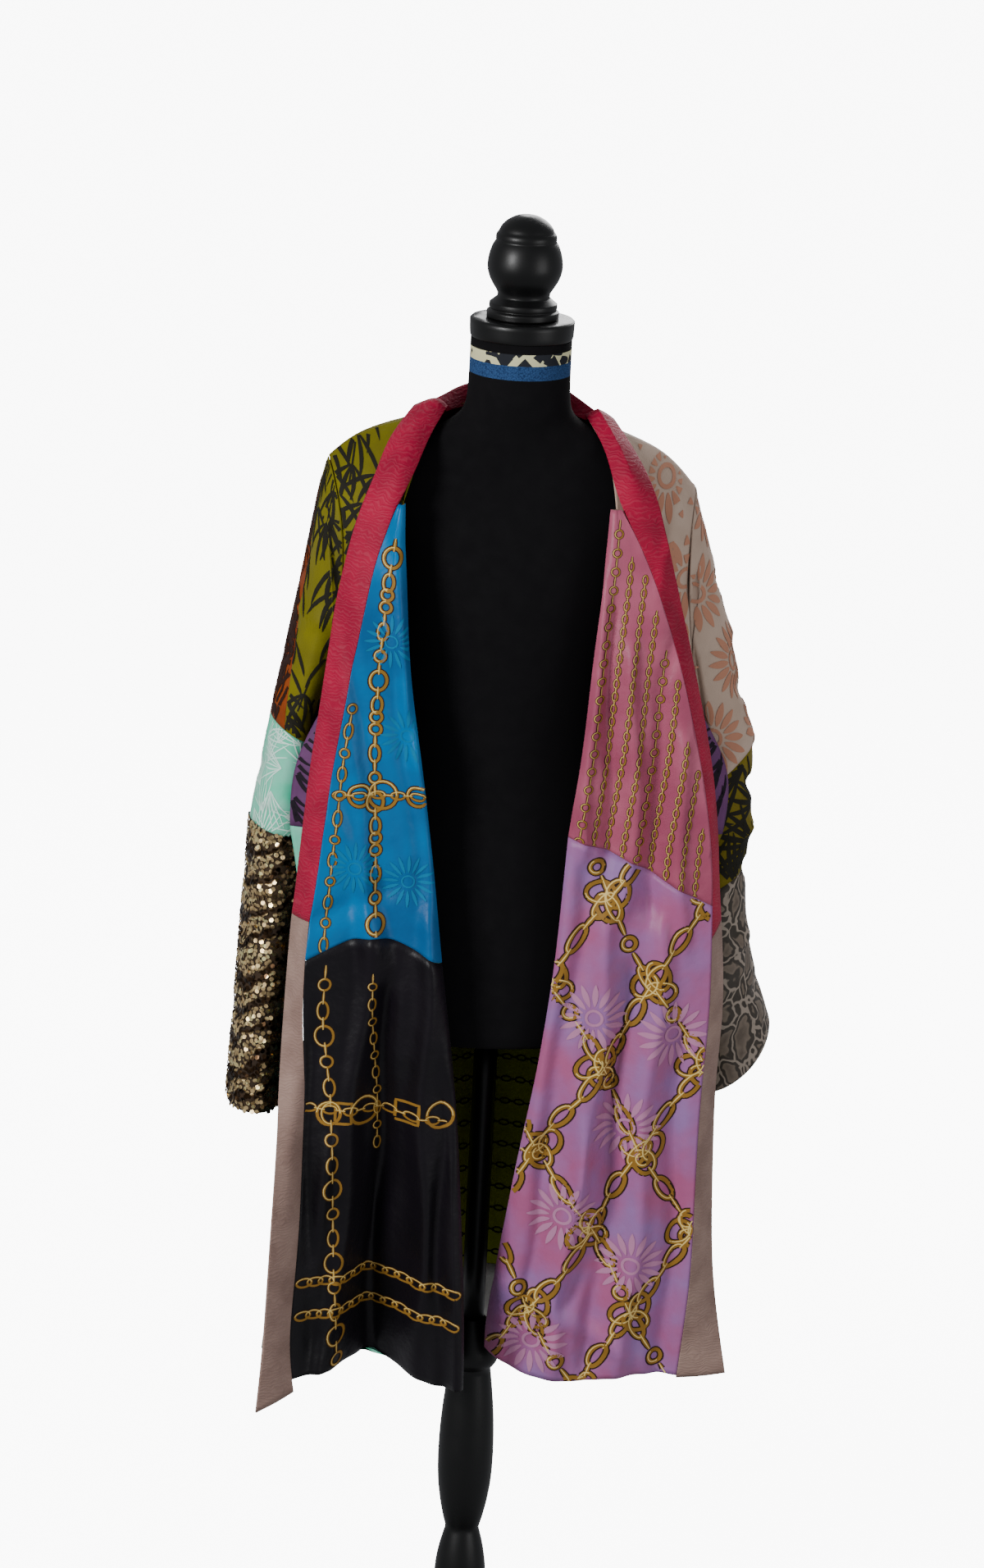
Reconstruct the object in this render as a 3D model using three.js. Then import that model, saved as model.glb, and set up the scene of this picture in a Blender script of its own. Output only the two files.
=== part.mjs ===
// A patchwork kimono worn open on a limbless dress form, with both fronts turned back to show the lining.
// Millimetres, +Z up. The origin is on the stand's axis at the floor, and the garment faces -Y.
// "Right" and "left" are the wearer's: the right side lies at -X. "Out" is the distance from the
// centre plane.
import * as THREE from 'three';

// Cloth: the sheet is the inner side of the shell, and the lining lies 0.3 mm inside it.
const SHELL_THICK = 1.2;
const LINING_THICK = 1.0;
const LAYER_GAP = 0.3;
const SEAM_GAP = 0.3;
const BAND_THICK = 2.4;
const BAND_GAP = 0.5;
const BAND_CREST = 3;

// Heights of the cloth's rows, from the hem to the last row below the shoulder line.
const LEVELS = [345, 410, 480, 560, 640, 720, 795, 865, 905, 960, 1000, 1070, 1135,
  1200, 1270, 1330, 1372, 1402, 1434];
const ROW_BACK_HEM = 1;
const ROW_LINING_RIGHT = 7;
const ROW_BAND = 8;
const ROW_LINING_LEFT = 9;
const ROW_PURPLE = 10;
const ROW_UNDERARM = 12;
const ROW_LAPEL_TOP = 16;
const ROW_SHOULDER = 19;

// Shoulder lines, from the neck side to the top of the armhole. The left one hangs lower.
const SHOULDER_COLUMNS = ['out', 'y', 'z'];
const RIGHT_SHOULDER = table(SHOULDER_COLUMNS, [
  [80, 8, 1457], [145, 5, 1440], [180, 4, 1425], [206, 3, 1402],
]);
const LEFT_SHOULDER = table(SHOULDER_COLUMNS, [
  [78, 8, 1451], [142, 5, 1428], [175, 4, 1408], [202, 3, 1377],
]);
const SHOULDER_CELLS = 5;
const BACK_SINK = { from: 1250, to: 1420, left: 18 };

// Dress form and stand.
const NECK_RADIUS = 57;
const NECK_TOP = 1542;
const TORSO_BOTTOM = 750;
const COLUMN_TOP_RADIUS = 16;
const JERSEY_BLACK = 0x18171a;
const JERSEY_ROUGHNESS = 0.9;
const PAINT_BLACK = 0x0c0c0d;
const PAINT_ROUGHNESS = 0.3;
const POLE_RADIUS = 13.5;
const COLUMN_TOP = 398;
const FOOT_TOP = 46;
const TURNED_SIDES = 20;
const SEAT_GAP = 0.3;

// Each front in plan, from the band's seam over the turned-back lapel and round its roll to the side seam.
const FRONT_COLUMNS = [
  'z', 'seamOut', 'seamY', 'fallOut', 'fallY', 'valleyOut', 'valleyY', 'riseOut', 'riseY',
  'rollOut', 'rollY', 'rollRadius',
];
const RIGHT_LAPEL = table(FRONT_COLUMNS, [
  [345, 210, -140, 165, -95, 112, -20, 66, -78, 20, -128, 9],
  [410, 222, -142, 172, -105, 118, -42, 70, -90, 22, -131, 9],
  [480, 218, -142, 172, -113, 122, -60, 74, -100, 26, -134, 9],
  [560, 214, -142, 172, -122, 126, -82, 80, -112, 33, -137, 9],
  [640, 214, -142, 174, -128, 130, -100, 85, -120, 39, -140, 9],
  [720, 214, -141, 176, -131, 134, -114, 92, -128, 48, -143, 9],
  [800, 221, -140, 182, -132, 140, -124, 100, -133, 60, -146, 8],
  [880, 219, -140, 184, -134, 145, -128, 107, -137, 72, -146, 8],
  [960, 210, -139, 180, -134, 147, -129, 112, -138, 82, -145, 8],
  [1070, 200, -137, 174, -134, 150, -131, 122, -137, 99, -142, 8],
  [1135, 190, -135, 170, -133, 150, -131, 128, -135, 110, -139, 8],
  [1200, 180, -132, 165, -131, 148, -130, 134, -131, 120, -135, 7],
  [1270, 168, -126, 158, -126, 149, -126, 140, -127, 125, -129, 7],
  [1330, 156, -115, 151, -115, 146, -115, 141, -116, 129, -118, 6],
  [1372, 137, -103, 136, -103, 135, -104, 134, -104, 130, -106, 4],
]);
const LEFT_LAPEL = table(FRONT_COLUMNS, [
  [345, 228, -74, 180, -74, 127, -83, 76, -80, 15, -62, 26],
  [410, 232, -84, 184, -84, 130, -90, 78, -90, 10, -76, 22],
  [480, 236, -94, 190, -94, 134, -98, 82, -100, 16, -90, 18],
  [560, 234, -103, 190, -104, 138, -104, 88, -108, 25, -102, 14],
  [640, 232, -110, 190, -112, 142, -109, 92, -116, 34, -114, 11],
  [720, 232, -115, 192, -118, 146, -115, 98, -124, 46, -126, 9],
  [800, 236, -120, 196, -124, 150, -121, 104, -130, 54, -134, 8],
  [880, 233, -124, 195, -128, 152, -125, 108, -134, 61, -138, 8],
  [960, 229, -128, 193, -131, 154, -128, 110, -135, 64, -139, 8],
  [1000, 226, -132, 190, -133, 154, -130, 112, -135, 66, -139, 8],
  [1070, 214, -134, 184, -134, 150, -131, 112, -135, 74, -138, 8],
  [1135, 198, -132, 174, -133, 145, -131, 112, -134, 80, -136, 8],
  [1200, 182, -127, 162, -129, 138, -128, 110, -131, 84, -133, 7],
  [1270, 158, -122, 142, -123, 125, -123, 106, -125, 90, -127, 7],
  [1330, 134, -112, 126, -112, 118, -113, 110, -114, 95, -116, 6],
  [1372, 109, -100, 108, -100, 106, -101, 104, -101, 98, -103, 4],
]);

// How far seams and hems on the lapels lie off their row's height, a row for each of them.
const DROP_COLUMNS = [
  'row', 'seam', 'fall', 'valley', 'rise', 'rollFront', 'rollApex', 'rollBack', 'panel',
];
const RIGHT_DROPS = table(DROP_COLUMNS, [
  [0, 26, 27, 23, 6, 8, 8, 8, 4],
  [7, -3, 15, 28, 16, 2, -2, -2, 0],
]);
const LEFT_DROPS = table(DROP_COLUMNS, [
  [0, 13, 15, 7, 8, 15, 32, 25, 12],
  [8, -12, -4, 4, 10, 16, 17, 15, 7],
  [9, -29, -10, 12, 32, 46, 48, 44, 22],
  [10, -10, 0, 10, 22, 29, 30, 28, 14],
  [11, 0, 2, 5, 9, 12, 12, 11, 5],
]);

// Each front below the armhole, behind its lapel: over the chest to the fold that bulges under the sleeve.
const PANEL_COLUMNS = [
  'z', 'panelOut', 'panelY', 'chestOut', 'chestY', 'bulgeOut', 'bulgeY', 'tuckOut', 'tuckY',
  'sideOut', 'sideY',
];
const RIGHT_PANEL = table(PANEL_COLUMNS, [
  [345, 62, -40, 118, 26, 198, -22, 224, -4, 238, 30],
  [410, 66, -58, 120, 8, 200, -34, 220, -8, 233, 24],
  [480, 70, -72, 122, -10, 201, -43, 216, -12, 228, 18],
  [560, 74, -90, 126, -34, 201, -52, 210, -18, 220, 14],
  [640, 78, -104, 130, -60, 200, -60, 203, -24, 212, 10],
  [720, 84, -114, 134, -84, 200, -66, 198, -30, 204, 8],
  [800, 92, -120, 138, -104, 206, -73, 192, -40, 190, 8],
  [880, 100, -121, 144, -105, 218, -77, 190, -46, 184, 8],
  [960, 106, -120, 148, -104, 230, -80, 188, -54, 181, 8],
  [1000, 110, -119, 150, -104, 238, -80, 187, -57, 180, 8],
  [1070, 118, -117, 153, -103, 240, -79, 187, -60, 178, 8],
  [1135, 124, -114, 154, -101, 206, -72, 190, -52, 182, 8],
]);
const LEFT_PANEL = table(PANEL_COLUMNS, [
  [345, 90, -8, 150, 10, 226, -10, 248, 6, 268, 32],
  [410, 92, -24, 150, -8, 222, -18, 240, 0, 254, 26],
  [480, 92, -40, 150, -26, 218, -28, 230, -6, 242, 20],
  [560, 90, -62, 150, -46, 214, -40, 220, -12, 230, 15],
  [640, 88, -84, 150, -66, 210, -52, 210, -20, 218, 11],
  [720, 90, -104, 150, -86, 206, -62, 202, -28, 206, 8],
  [800, 96, -114, 152, -100, 206, -70, 194, -38, 194, 8],
  [880, 100, -118, 154, -103, 210, -73, 191, -45, 188, 8],
  [960, 104, -118, 156, -103, 228, -75, 190, -52, 184, 8],
  [1000, 106, -117, 156, -102, 244, -75, 190, -56, 182, 8],
  [1070, 110, -115, 156, -101, 254, -74, 190, -59, 180, 8],
  [1135, 112, -113, 156, -100, 214, -72, 192, -52, 183, 8],
]);

// Each front above the underarm: neckline, chest and the armhole's front edge, a row for each level.
const YOKE_COLUMNS = [
  'row', 'neckOut', 'neckY', 'neckZ', 'chestOut', 'chestY', 'chestZ', 'armOut', 'armY', 'armZ',
];
const RIGHT_YOKE = table(YOKE_COLUMNS, [
  [13, 127, -121, 1200, 156, -101, 1200, 196, -70, 1200],
  [14, 132, -115, 1270, 157, -98, 1270, 190, -70, 1266],
  [15, 134, -106, 1330, 158, -88, 1328, 190, -66, 1318],
  [16, 130, -93, 1372, 158, -73, 1367, 194, -52, 1352],
  [17, 118, -73, 1403, 154, -55, 1396, 199, -34, 1377],
  [18, 104, -39, 1432, 150, -28, 1423, 203, -16, 1394],
]);
const LEFT_YOKE = table(YOKE_COLUMNS, [
  [13, 91, -119, 1200, 156, -100, 1200, 198, -70, 1200],
  [14, 97, -113, 1270, 154, -97, 1270, 192, -70, 1266],
  [15, 101, -104, 1330, 150, -88, 1325, 191, -66, 1310],
  [16, 104, -90, 1370, 150, -74, 1360, 193, -52, 1337],
  [17, 102, -70, 1398, 148, -56, 1383, 196, -34, 1356],
  [18, 96, -40, 1426, 145, -28, 1409, 200, -16, 1370],
]);

// The back: the armhole's back edge (below it, the side of the back), the shoulder blade, the neck and
// the centre.
const BACK_COLUMNS = [
  'z', 'armOut', 'armY', 'armZ', 'bladeOut', 'bladeY', 'bladeZ', 'neckOut', 'neckY', 'neckZ',
  'centreY', 'centreZ',
];
const BACK = table(BACK_COLUMNS, [
  [345, 215, 88, 345, 150, 118, 345, 75, 130, 345, 134, 345],
  [480, 208, 84, 480, 142, 118, 480, 72, 130, 480, 132, 480],
  [640, 200, 84, 640, 134, 119, 640, 70, 130, 640, 131, 640],
  [800, 191, 84, 800, 130, 119, 800, 68, 129, 800, 130, 800],
  [880, 188, 84, 880, 128, 118, 880, 67, 127, 880, 128, 880],
  [960, 186, 84, 960, 126, 114, 960, 66, 122, 960, 123, 960],
  [1070, 185, 84, 1070, 125, 108, 1070, 64, 115, 1070, 115, 1070],
  [1135, 186, 84, 1135, 125, 106, 1135, 64, 112, 1135, 112, 1135],
  [1200, 188, 86, 1200, 126, 105, 1200, 64, 111, 1200, 111, 1200],
  [1270, 189, 84, 1266, 128, 103, 1270, 64, 110, 1270, 111, 1270],
  [1330, 191, 76, 1320, 130, 96, 1328, 66, 107, 1330, 109, 1330],
  [1372, 195, 60, 1354, 133, 84, 1368, 68, 98, 1374, 103, 1376],
  [1402, 200, 42, 1379, 137, 66, 1396, 70, 84, 1404, 94, 1408],
  [1434, 204, 22, 1395, 141, 38, 1422, 74, 54, 1431, 82, 1434],
]);
const NECK_CENTRE = { y: 72, z: 1456 };
const NECK_QUARTER = { out: 46, y: 56, z: 1457 };

// Soft folds of the back: place, half width, depth inwards at the hem, and the height at which each
// one ends.
const BACK_FOLDS = table(['x', 'halfWidth', 'depth', 'top', 'lean'], [
  [-168, 34, -16, 900, 0.02],
  [-92, 34, 15, 980, 0.03],
  [-22, 34, -15, 860, 0.01],
  [58, 36, 16, 1000, -0.02],
  [136, 34, -17, 920, -0.03],
]);

// The band's free edge on each front, and how far its hem corner hangs below the last row.
const EDGE_COLUMNS = ['z', 'edgeOut', 'edgeY'];
const RIGHT_EDGE = table(EDGE_COLUMNS, [
  [335, 257, -168], [410, 252, -172], [480, 250, -172], [560, 248, -170], [640, 245, -160],
  [720, 243, -130], [800, 238, -104], [880, 235, -102], [960, 229, -104], [1070, 221, -104],
  [1135, 213, -100], [1200, 206, -98], [1270, 198, -96], [1330, 186, -90], [1372, 172, -84],
]);
const LEFT_EDGE = table(EDGE_COLUMNS, [
  [345, 289, -64], [410, 276, -64], [480, 264, -62], [560, 258, -72], [640, 254, -80],
  [720, 251, -85], [800, 256, -88], [880, 249, -90], [960, 240, -94], [1000, 237, -98],
  [1070, 228, -101], [1135, 214, -99], [1200, 198, -94], [1270, 180, -93], [1330, 163, -95],
  [1372, 154, -86],
]);
const RIGHT_HEM_DROP = { seam: 11, edge: -4 };
const LEFT_HEM_DROP = { seam: 10, edge: 12 };

// The band above each lapel, where it stands up from the neckline and folds outwards, a row for each
// of the sheet's. Its lowest row covers the lapel's top. The rows above it start on the neckline
// itself.
const COLLAR_COLUMNS = ['crestOut', 'crestY', 'crestZ', 'edgeOut', 'edgeY', 'edgeZ'];
const RIGHT_COLLAR = table(COLLAR_COLUMNS, [
  [136, -88, 1409, 158, -66, 1401],
  [121, -48, 1440, 145, -32, 1431],
  [90, 4, 1470, 114, 10, 1459],
]);
const LEFT_COLLAR = table(COLLAR_COLUMNS, [
  [122, -86, 1403, 144, -68, 1396],
  [109, -50, 1433, 129, -34, 1423],
  [89, 4, 1462, 108, 10, 1450],
]);
const NAPE_COLLAR = table(COLLAR_COLUMNS, [
  [54, 62, 1475, 70, 85, 1455],
  [28, 77, 1476, 36, 99, 1454],
  [0, 84, 1476, 0, 105, 1453],
]);
const RIGHT_BAND_TOP = { out: 173, y: -84, z: 1372 };
const LEFT_BAND_TOP = { out: 153, y: -86, z: 1372 };
const COLLAR_LIFT = 1.8;
const SHOULDER_SHIFT = -3;
const NAPE_SHIFT = 1;

// Each sleeve's rings, from just past the armhole to the cuff: outer and inner poles, depths, and the
// seam's turn.
const SLEEVE_COLUMNS = [
  'outerOut', 'outerZ', 'innerOut', 'innerZ', 'midY', 'frontDepth', 'backDepth', 'turn', 'cuffDrop',
];
const RIGHT_SLEEVE = table(SLEEVE_COLUMNS, [
  [213, 1380, 191, 1138, 5, 76, 78, 0, 0],
  [220, 1332, 199, 1132, 5, 74, 76, 8, 0],
  [235, 1240, 203, 1121, 5, 67, 74, 28, 0],
  [249, 1165, 206, 1102, 5, 60, 72, 46, 0],
  [260, 1108, 209, 1078, 5, 57, 70, 62, 0],
  [270, 1045, 212, 1025, 5, 57, 70, 62, 0],
  [279, 988, 214, 972, 5, 58, 70, 62, 0],
  [283, 900, 216, 888, 4, 59, 70, 62, 0],
  [287, 800, 221, 794, 3, 59, 70, 62, 0],
  [291, 716, 227, 713, 2, 58, 68, 62, 0],
  [293, 660, 231, 660, 2, 56, 66, 62, 4],
]);
const LEFT_SLEEVE = table(SLEEVE_COLUMNS, [
  [209, 1352, 193, 1138, 5, 76, 78, 0, 0],
  [224, 1308, 198, 1130, 5, 74, 78, 0, 0],
  [248, 1220, 202, 1105, 5, 68, 78, 0, 0],
  [268, 1150, 205, 1065, 6, 64, 80, 0, 0],
  [283, 1093, 207, 1020, 8, 62, 84, 0, 0],
  [288, 1025, 209, 965, 10, 62, 92, 0, 0],
  [285, 950, 212, 905, 12, 62, 100, 0, 0],
  [288, 875, 216, 835, 15, 62, 116, 0, 4],
  [306, 812, 222, 762, 18, 62, 130, 0, 14],
  [325, 757, 230, 690, 20, 62, 140, 0, 30],
]);

// Sections of the dress form: half width, and depth before and behind the axis.
const TORSO = table(['z', 'half', 'front', 'back'], [
  [750, 150, 98, 106], [762, 158, 104, 112], [850, 163, 106, 116], [950, 156, 99, 108], [1030, 140, 90, 92],
  [1090, 132, 86, 86], [1180, 142, 98, 94], [1250, 154, 106, 98], [1305, 164, 98, 98], [1345, 173, 82, 88],
  [1370, 180, 64, 76], [1390, 173, 52, 62], [1410, 149, 47, 53], [1430, 112, 46, 46], [1445, 76.8, 49, 47],
  [1458, 61, 54, 53], [1474, 57, 57, 57],
]);

// Turned profiles: radius and height, from the bottom to the top.
const FINIAL = [
  [40.5, 1563.3], [40.5, 1571], [37.5, 1573], [38.5, 1576], [38, 1580], [34, 1583], [29.5, 1587],
  [29.2, 1591], [33, 1597], [38.5, 1605], [42, 1615], [42.6, 1623], [41, 1634], [37.5, 1644],
  [34, 1649], [34.6, 1653], [33.5, 1657], [31, 1659], [30, 1663], [26, 1668], [20, 1673],
  [10, 1677.5],
];
const CAP = [[57, 0], [58.5, 2], [59, 19], [57, 21]];
const COLUMN = [
  [36, 0.3], [40, 4], [39, 12], [33, 17], [31, 26], [30, 42], [29, 56], [25, 76], [21, 90],
  [19.5, 95], [21, 100], [25, 114], [31, 145], [33, 181], [31.5, 230], [27, 270], [24, 292],
  [30, 298], [33, 306], [31, 320], [24, 338], [18, 350],
];
const FOOT = [[150, 0], [156, 4], [156, 13], [150, 18], [110, 23], [72, 31], [50, 41], [46, 46]];

// Makes row objects with named columns from a short table.
function table(columns, rows) {
  return rows.map((row) => Object.fromEntries(columns.map((name, k) => [name, row[k]])));
}

// Smooth value of one column at a height, through the rows of a table that has a z column.
function valueAt(rows, column, z) {
  const last = rows.length - 1;
  if (z <= rows[0].z) return rows[0][column];
  if (z >= rows[last].z) return rows[last][column];
  const k = rows.findIndex((row, n) => n < last && z < rows[n + 1].z);
  const slope = (n) => {
    const a = rows[Math.max(n - 1, 0)];
    const b = rows[Math.min(n + 1, last)];
    return (b[column] - a[column]) / (b.z - a.z);
  };
  const span = rows[k + 1].z - rows[k].z;
  const t = (z - rows[k].z) / span;
  const a = rows[k][column];
  const b = rows[k + 1][column];
  const ease = t * t * (3 - 2 * t);
  return a + (b - a) * ease + span * t * (1 - t) * ((1 - t) * slope(k) - t * slope(k + 1));
}

// A point on one side: side is -1 on the wearer's right and 1 on the left.
function at(side, out, y, z) {
  return new THREE.Vector3(side * out, y, z);
}

// A smooth line through control points, cut into the given number of cells between each two of them.
function splitLine(points, cells) {
  const curve = new THREE.CatmullRomCurve3(points, false, 'centripetal');
  const result = [points[0].clone()];
  cells.forEach((count, k) => {
    for (let n = 1; n <= count; n += 1) result.push(curve.getPoint((k + n / count) / cells.length));
  });
  return result;
}

function shoulderPoint(half, fraction) {
  const line = half.shoulder.map((p) => at(half.side, p.out, p.y, p.z));
  return new THREE.CatmullRomCurve3(line, false, 'centripetal').getPoint(fraction);
}

const RIGHT = {
  side: -1,
  sink: 0,
  shoulder: RIGHT_SHOULDER,
  bandTop: RIGHT_BAND_TOP,
  lapel: RIGHT_LAPEL,
  drops: RIGHT_DROPS,
  panel: RIGHT_PANEL,
  yoke: RIGHT_YOKE,
  edge: RIGHT_EDGE,
  hemDrop: RIGHT_HEM_DROP,
  collar: RIGHT_COLLAR,
  sleeve: RIGHT_SLEEVE,
};
const LEFT = {
  side: 1,
  sink: BACK_SINK.left,
  shoulder: LEFT_SHOULDER,
  bandTop: LEFT_BAND_TOP,
  lapel: LEFT_LAPEL,
  drops: LEFT_DROPS,
  panel: LEFT_PANEL,
  yoke: LEFT_YOKE,
  edge: LEFT_EDGE,
  hemDrop: LEFT_HEM_DROP,
  collar: LEFT_COLLAR,
  sleeve: LEFT_SLEEVE,
};

// Cells between the control points of half a row, from the band's seam to the centre of the back.
const LAPEL_CELLS = [2, 2, 2, 2, 2, 2];
const PANEL_CELLS = [1, 2, 2, 2, 2];
const BACK_CELLS = [2, 2, 3, 3];
const HALF_CELLS = [...LAPEL_CELLS, ...PANEL_CELLS, ...BACK_CELLS];
const sum = (list) => list.reduce((a, b) => a + b, 0);
const COL_NECK = sum(LAPEL_CELLS);
const COL_BULGE = COL_NECK + PANEL_CELLS[0] + PANEL_CELLS[1] + PANEL_CELLS[2];
const COL_SIDE = COL_NECK + sum(PANEL_CELLS);
const COL_BACK_ARM = COL_SIDE + BACK_CELLS[0];
const COL_BACK_NECK = COL_BACK_ARM + BACK_CELLS[1] + BACK_CELLS[2];
const COL_CENTRE = sum(HALF_CELLS);
const COL_LAST = 2 * COL_CENTRE;

function dropOf(half, row, name) {
  const drop = half.drops.find((d) => d.row === row);
  return drop ? drop[name] : 0;
}

function lapelControls(half, row) {
  const { side, lapel } = half;
  const place = (name, dropName) => {
    const z = LEVELS[row] + dropOf(half, row, dropName);
    return { z, out: valueAt(lapel, `${name}Out`, z), y: valueAt(lapel, `${name}Y`, z) };
  };
  const simple = ['seam', 'fall', 'valley', 'rise'].map((name) => {
    const p = place(name, name);
    return at(side, p.out, p.y, p.z);
  });
  const radius = valueAt(lapel, 'rollRadius', LEVELS[row]);
  const front = place('roll', 'rollFront');
  const apex = place('roll', 'rollApex');
  const back = place('roll', 'rollBack');
  return [
    ...simple,
    at(side, front.out + radius, front.y, front.z),
    at(side, apex.out, apex.y + radius, apex.z),
    at(side, back.out + radius, back.y + 2 * radius, back.z),
  ];
}

function backControls(half, z) {
  const value = (column) => valueAt(BACK, column, z);
  const sink = half.sink * THREE.MathUtils.smoothstep(z, BACK_SINK.from, BACK_SINK.to);
  return ['arm', 'blade', 'neck'].map((name, k) => (
    at(half.side, value(`${name}Out`), value(`${name}Y`), value(`${name}Z`) - sink * (3 - k) / 3)));
}

// Control points of half a row, from the band's seam to the neck column of the back.
function halfControls(half, row) {
  const { side, panel, yoke } = half;
  const z = LEVELS[row];
  const back = backControls(half, z);
  if (row <= ROW_UNDERARM) {
    const front = ['panel', 'chest', 'bulge', 'tuck', 'side'].map((name) => (
      at(side, valueAt(panel, `${name}Out`, z), valueAt(panel, `${name}Y`, z), z)));
    front[0].z += dropOf(half, row, 'panel');
    return [...lapelControls(half, row), ...front, ...back];
  }
  const y = yoke.find((r) => r.row === row);
  const neck = at(side, y.neckOut, y.neckY, y.neckZ);
  const chest = at(side, y.chestOut, y.chestY, y.chestZ);
  const arm = at(side, y.armOut, y.armY, y.armZ);
  const between = neck.clone().lerp(chest, 0.4).add(new THREE.Vector3(0, -1, 0));
  const closed = LAPEL_CELLS.map(() => neck.clone()).concat(neck);
  const lapel = row <= ROW_LAPEL_TOP ? lapelControls(half, row) : closed;
  lapel[lapel.length - 1] = neck;
  const across = [1, 2].map((n) => arm.clone().lerp(back[0], n / 3));
  return [...lapel, between, chest, arm, ...across, ...back];
}

function foldDepth(x, z) {
  return BACK_FOLDS.reduce((total, f) => {
    const rise = Math.max(f.top - z, 0) / (f.top - LEVELS[0]);
    const offset = (x - f.x - f.lean * (z - LEVELS[0])) / f.halfWidth;
    return total + f.depth * rise ** 1.5 * Math.exp(-offset * offset);
  }, 0);
}

// One row of the whole sheet, from the right band's seam round the back to the left band's seam.
function sheetRow(row) {
  if (row === ROW_SHOULDER) return [...shoulderRow(RIGHT), ...shoulderRow(LEFT).reverse().slice(1)];
  const right = halfControls(RIGHT, row);
  const left = halfControls(LEFT, row).reverse();
  const z = LEVELS[row];
  const centre = at(1, 0, valueAt(BACK, 'centreY', z), valueAt(BACK, 'centreZ', z));
  const cells = [...HALF_CELLS, ...[...HALF_CELLS].reverse()];
  const points = splitLine([...right, centre, ...left], cells);
  points.forEach((p, i) => {
    if (i >= COL_BACK_ARM && i <= COL_LAST - COL_BACK_ARM) p.y += foldDepth(p.x, p.z);
  });
  return points;
}

// The last row: the shoulder line on both sides, met by front and back, and the nape's neckline.
function shoulderRow(half) {
  const points = [];
  for (let i = 0; i <= COL_CENTRE; i += 1) {
    const front = THREE.MathUtils.clamp((i - COL_NECK) / SHOULDER_CELLS, 0, 1);
    const back = THREE.MathUtils.clamp((COL_BACK_NECK - i) / SHOULDER_CELLS, 0, 1);
    points.push(shoulderPoint(half, i <= COL_BULGE ? front : back));
  }
  const nape = splitLine([
    shoulderPoint(half, 0),
    at(half.side, NECK_QUARTER.out, NECK_QUARTER.y, NECK_QUARTER.z),
    at(half.side, 0, NECK_CENTRE.y, NECK_CENTRE.z),
  ], [1, 2]);
  nape.forEach((p, n) => { points[COL_BACK_NECK + n] = p; });
  return points;
}


// A cell of the sheet is cloth unless it lies above the lapel's top or in an armhole.
function sheetCell(i, j) {
  const near = Math.min(i, COL_LAST - 1 - i);
  const aboveLapel = near < COL_NECK && j >= ROW_LAPEL_TOP;
  const inArmhole = near >= COL_BULGE && near < COL_BACK_ARM && j >= ROW_UNDERARM;
  return !aboveLapel && !inArmhole && i >= 0 && i < COL_LAST && j >= 0 && j < ROW_SHOULDER;
}

// Unit normals of a grid of points, from the cells that exist round each point.
function gridNormals(points, isCell, closed) {
  const columns = points.length;
  return points.map((column, i) => column.map((p, j) => {
    const total = new THREE.Vector3();
    for (const a of [i - 1, i]) {
      for (const b of [j - 1, j]) {
        const cell = closed ? (a + columns) % columns : a;
        const outside = !closed && (a < 0 || a >= columns - 1);
        if (outside || b < 0 || b >= column.length - 1 || !isCell(cell, b)) continue;
        const next = (cell + 1) % columns;
        const across = points[next][b + 1].clone().sub(points[cell][b]);
        const along = points[next][b].clone().sub(points[cell][b + 1]);
        total.add(across.cross(along));
      }
    }
    return total.normalize();
  }));
}

// A closed wall over some cells of a grid: inner and outer skins at the given offsets, joined round
// every border. Borders are drawn in by half a seam gap, so that neighbours never touch.
function wall({ points, normals, cells, outer, inner, closed = false, gap = SEAM_GAP }) {
  const columns = points.length;
  const wrap = (i) => (closed ? (i + columns) % columns : i);
  const lastRow = points[0].length - 1;
  const inGrid = (i, j) => (closed || (i >= 0 && i < columns - 1)) && j >= 0 && j < lastRow;
  const has = (i, j) => inGrid(i, j) && cells(wrap(i), j);
  const positions = [];
  const index = new Map();
  const vertex = (i, j) => {
    const key = `${wrap(i)}_${j}`;
    if (index.has(key)) return index.get(key);
    const column = wrap(i);
    const p = points[column][j].clone();
    const pull = (toI, toJ) => {
      const step = points[wrap(toI)][toJ].clone().sub(points[column][j]);
      p.add(step.setLength(gap / 2));
    };
    if (!has(i - 1, j) && !has(i - 1, j - 1)) pull(i + 1, j);
    if (!has(i, j) && !has(i, j - 1)) pull(i - 1, j);
    if (!has(i, j - 1) && !has(i - 1, j - 1)) pull(i, j + 1);
    if (!has(i, j) && !has(i - 1, j)) pull(i, j - 1);
    const n = normals[column][j];
    const first = positions.length / 3;
    positions.push(...p.clone().addScaledVector(n, outer).toArray());
    positions.push(...p.clone().addScaledVector(n, inner).toArray());
    index.set(key, first);
    return first;
  };
  const faces = [];
  const quad = (a, b, c, d) => faces.push(a, b, c, a, c, d);
  for (let i = 0; i < (closed ? columns : columns - 1); i += 1) {
    for (let j = 0; j < points[i].length - 1; j += 1) {
      if (!has(i, j)) continue;
      const a = vertex(i, j);
      const b = vertex(i + 1, j);
      const c = vertex(i + 1, j + 1);
      const d = vertex(i, j + 1);
      quad(a, b, c, d);
      quad(a + 1, d + 1, c + 1, b + 1);
      if (!has(i, j - 1)) quad(a, a + 1, b + 1, b);
      if (!has(i, j + 1)) quad(c, c + 1, d + 1, d);
      if (!has(i - 1, j)) quad(d, d + 1, a + 1, a);
      if (!has(i + 1, j)) quad(b, b + 1, c + 1, c);
    }
  }
  return closedGeometry(positions, faces);
}

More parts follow.
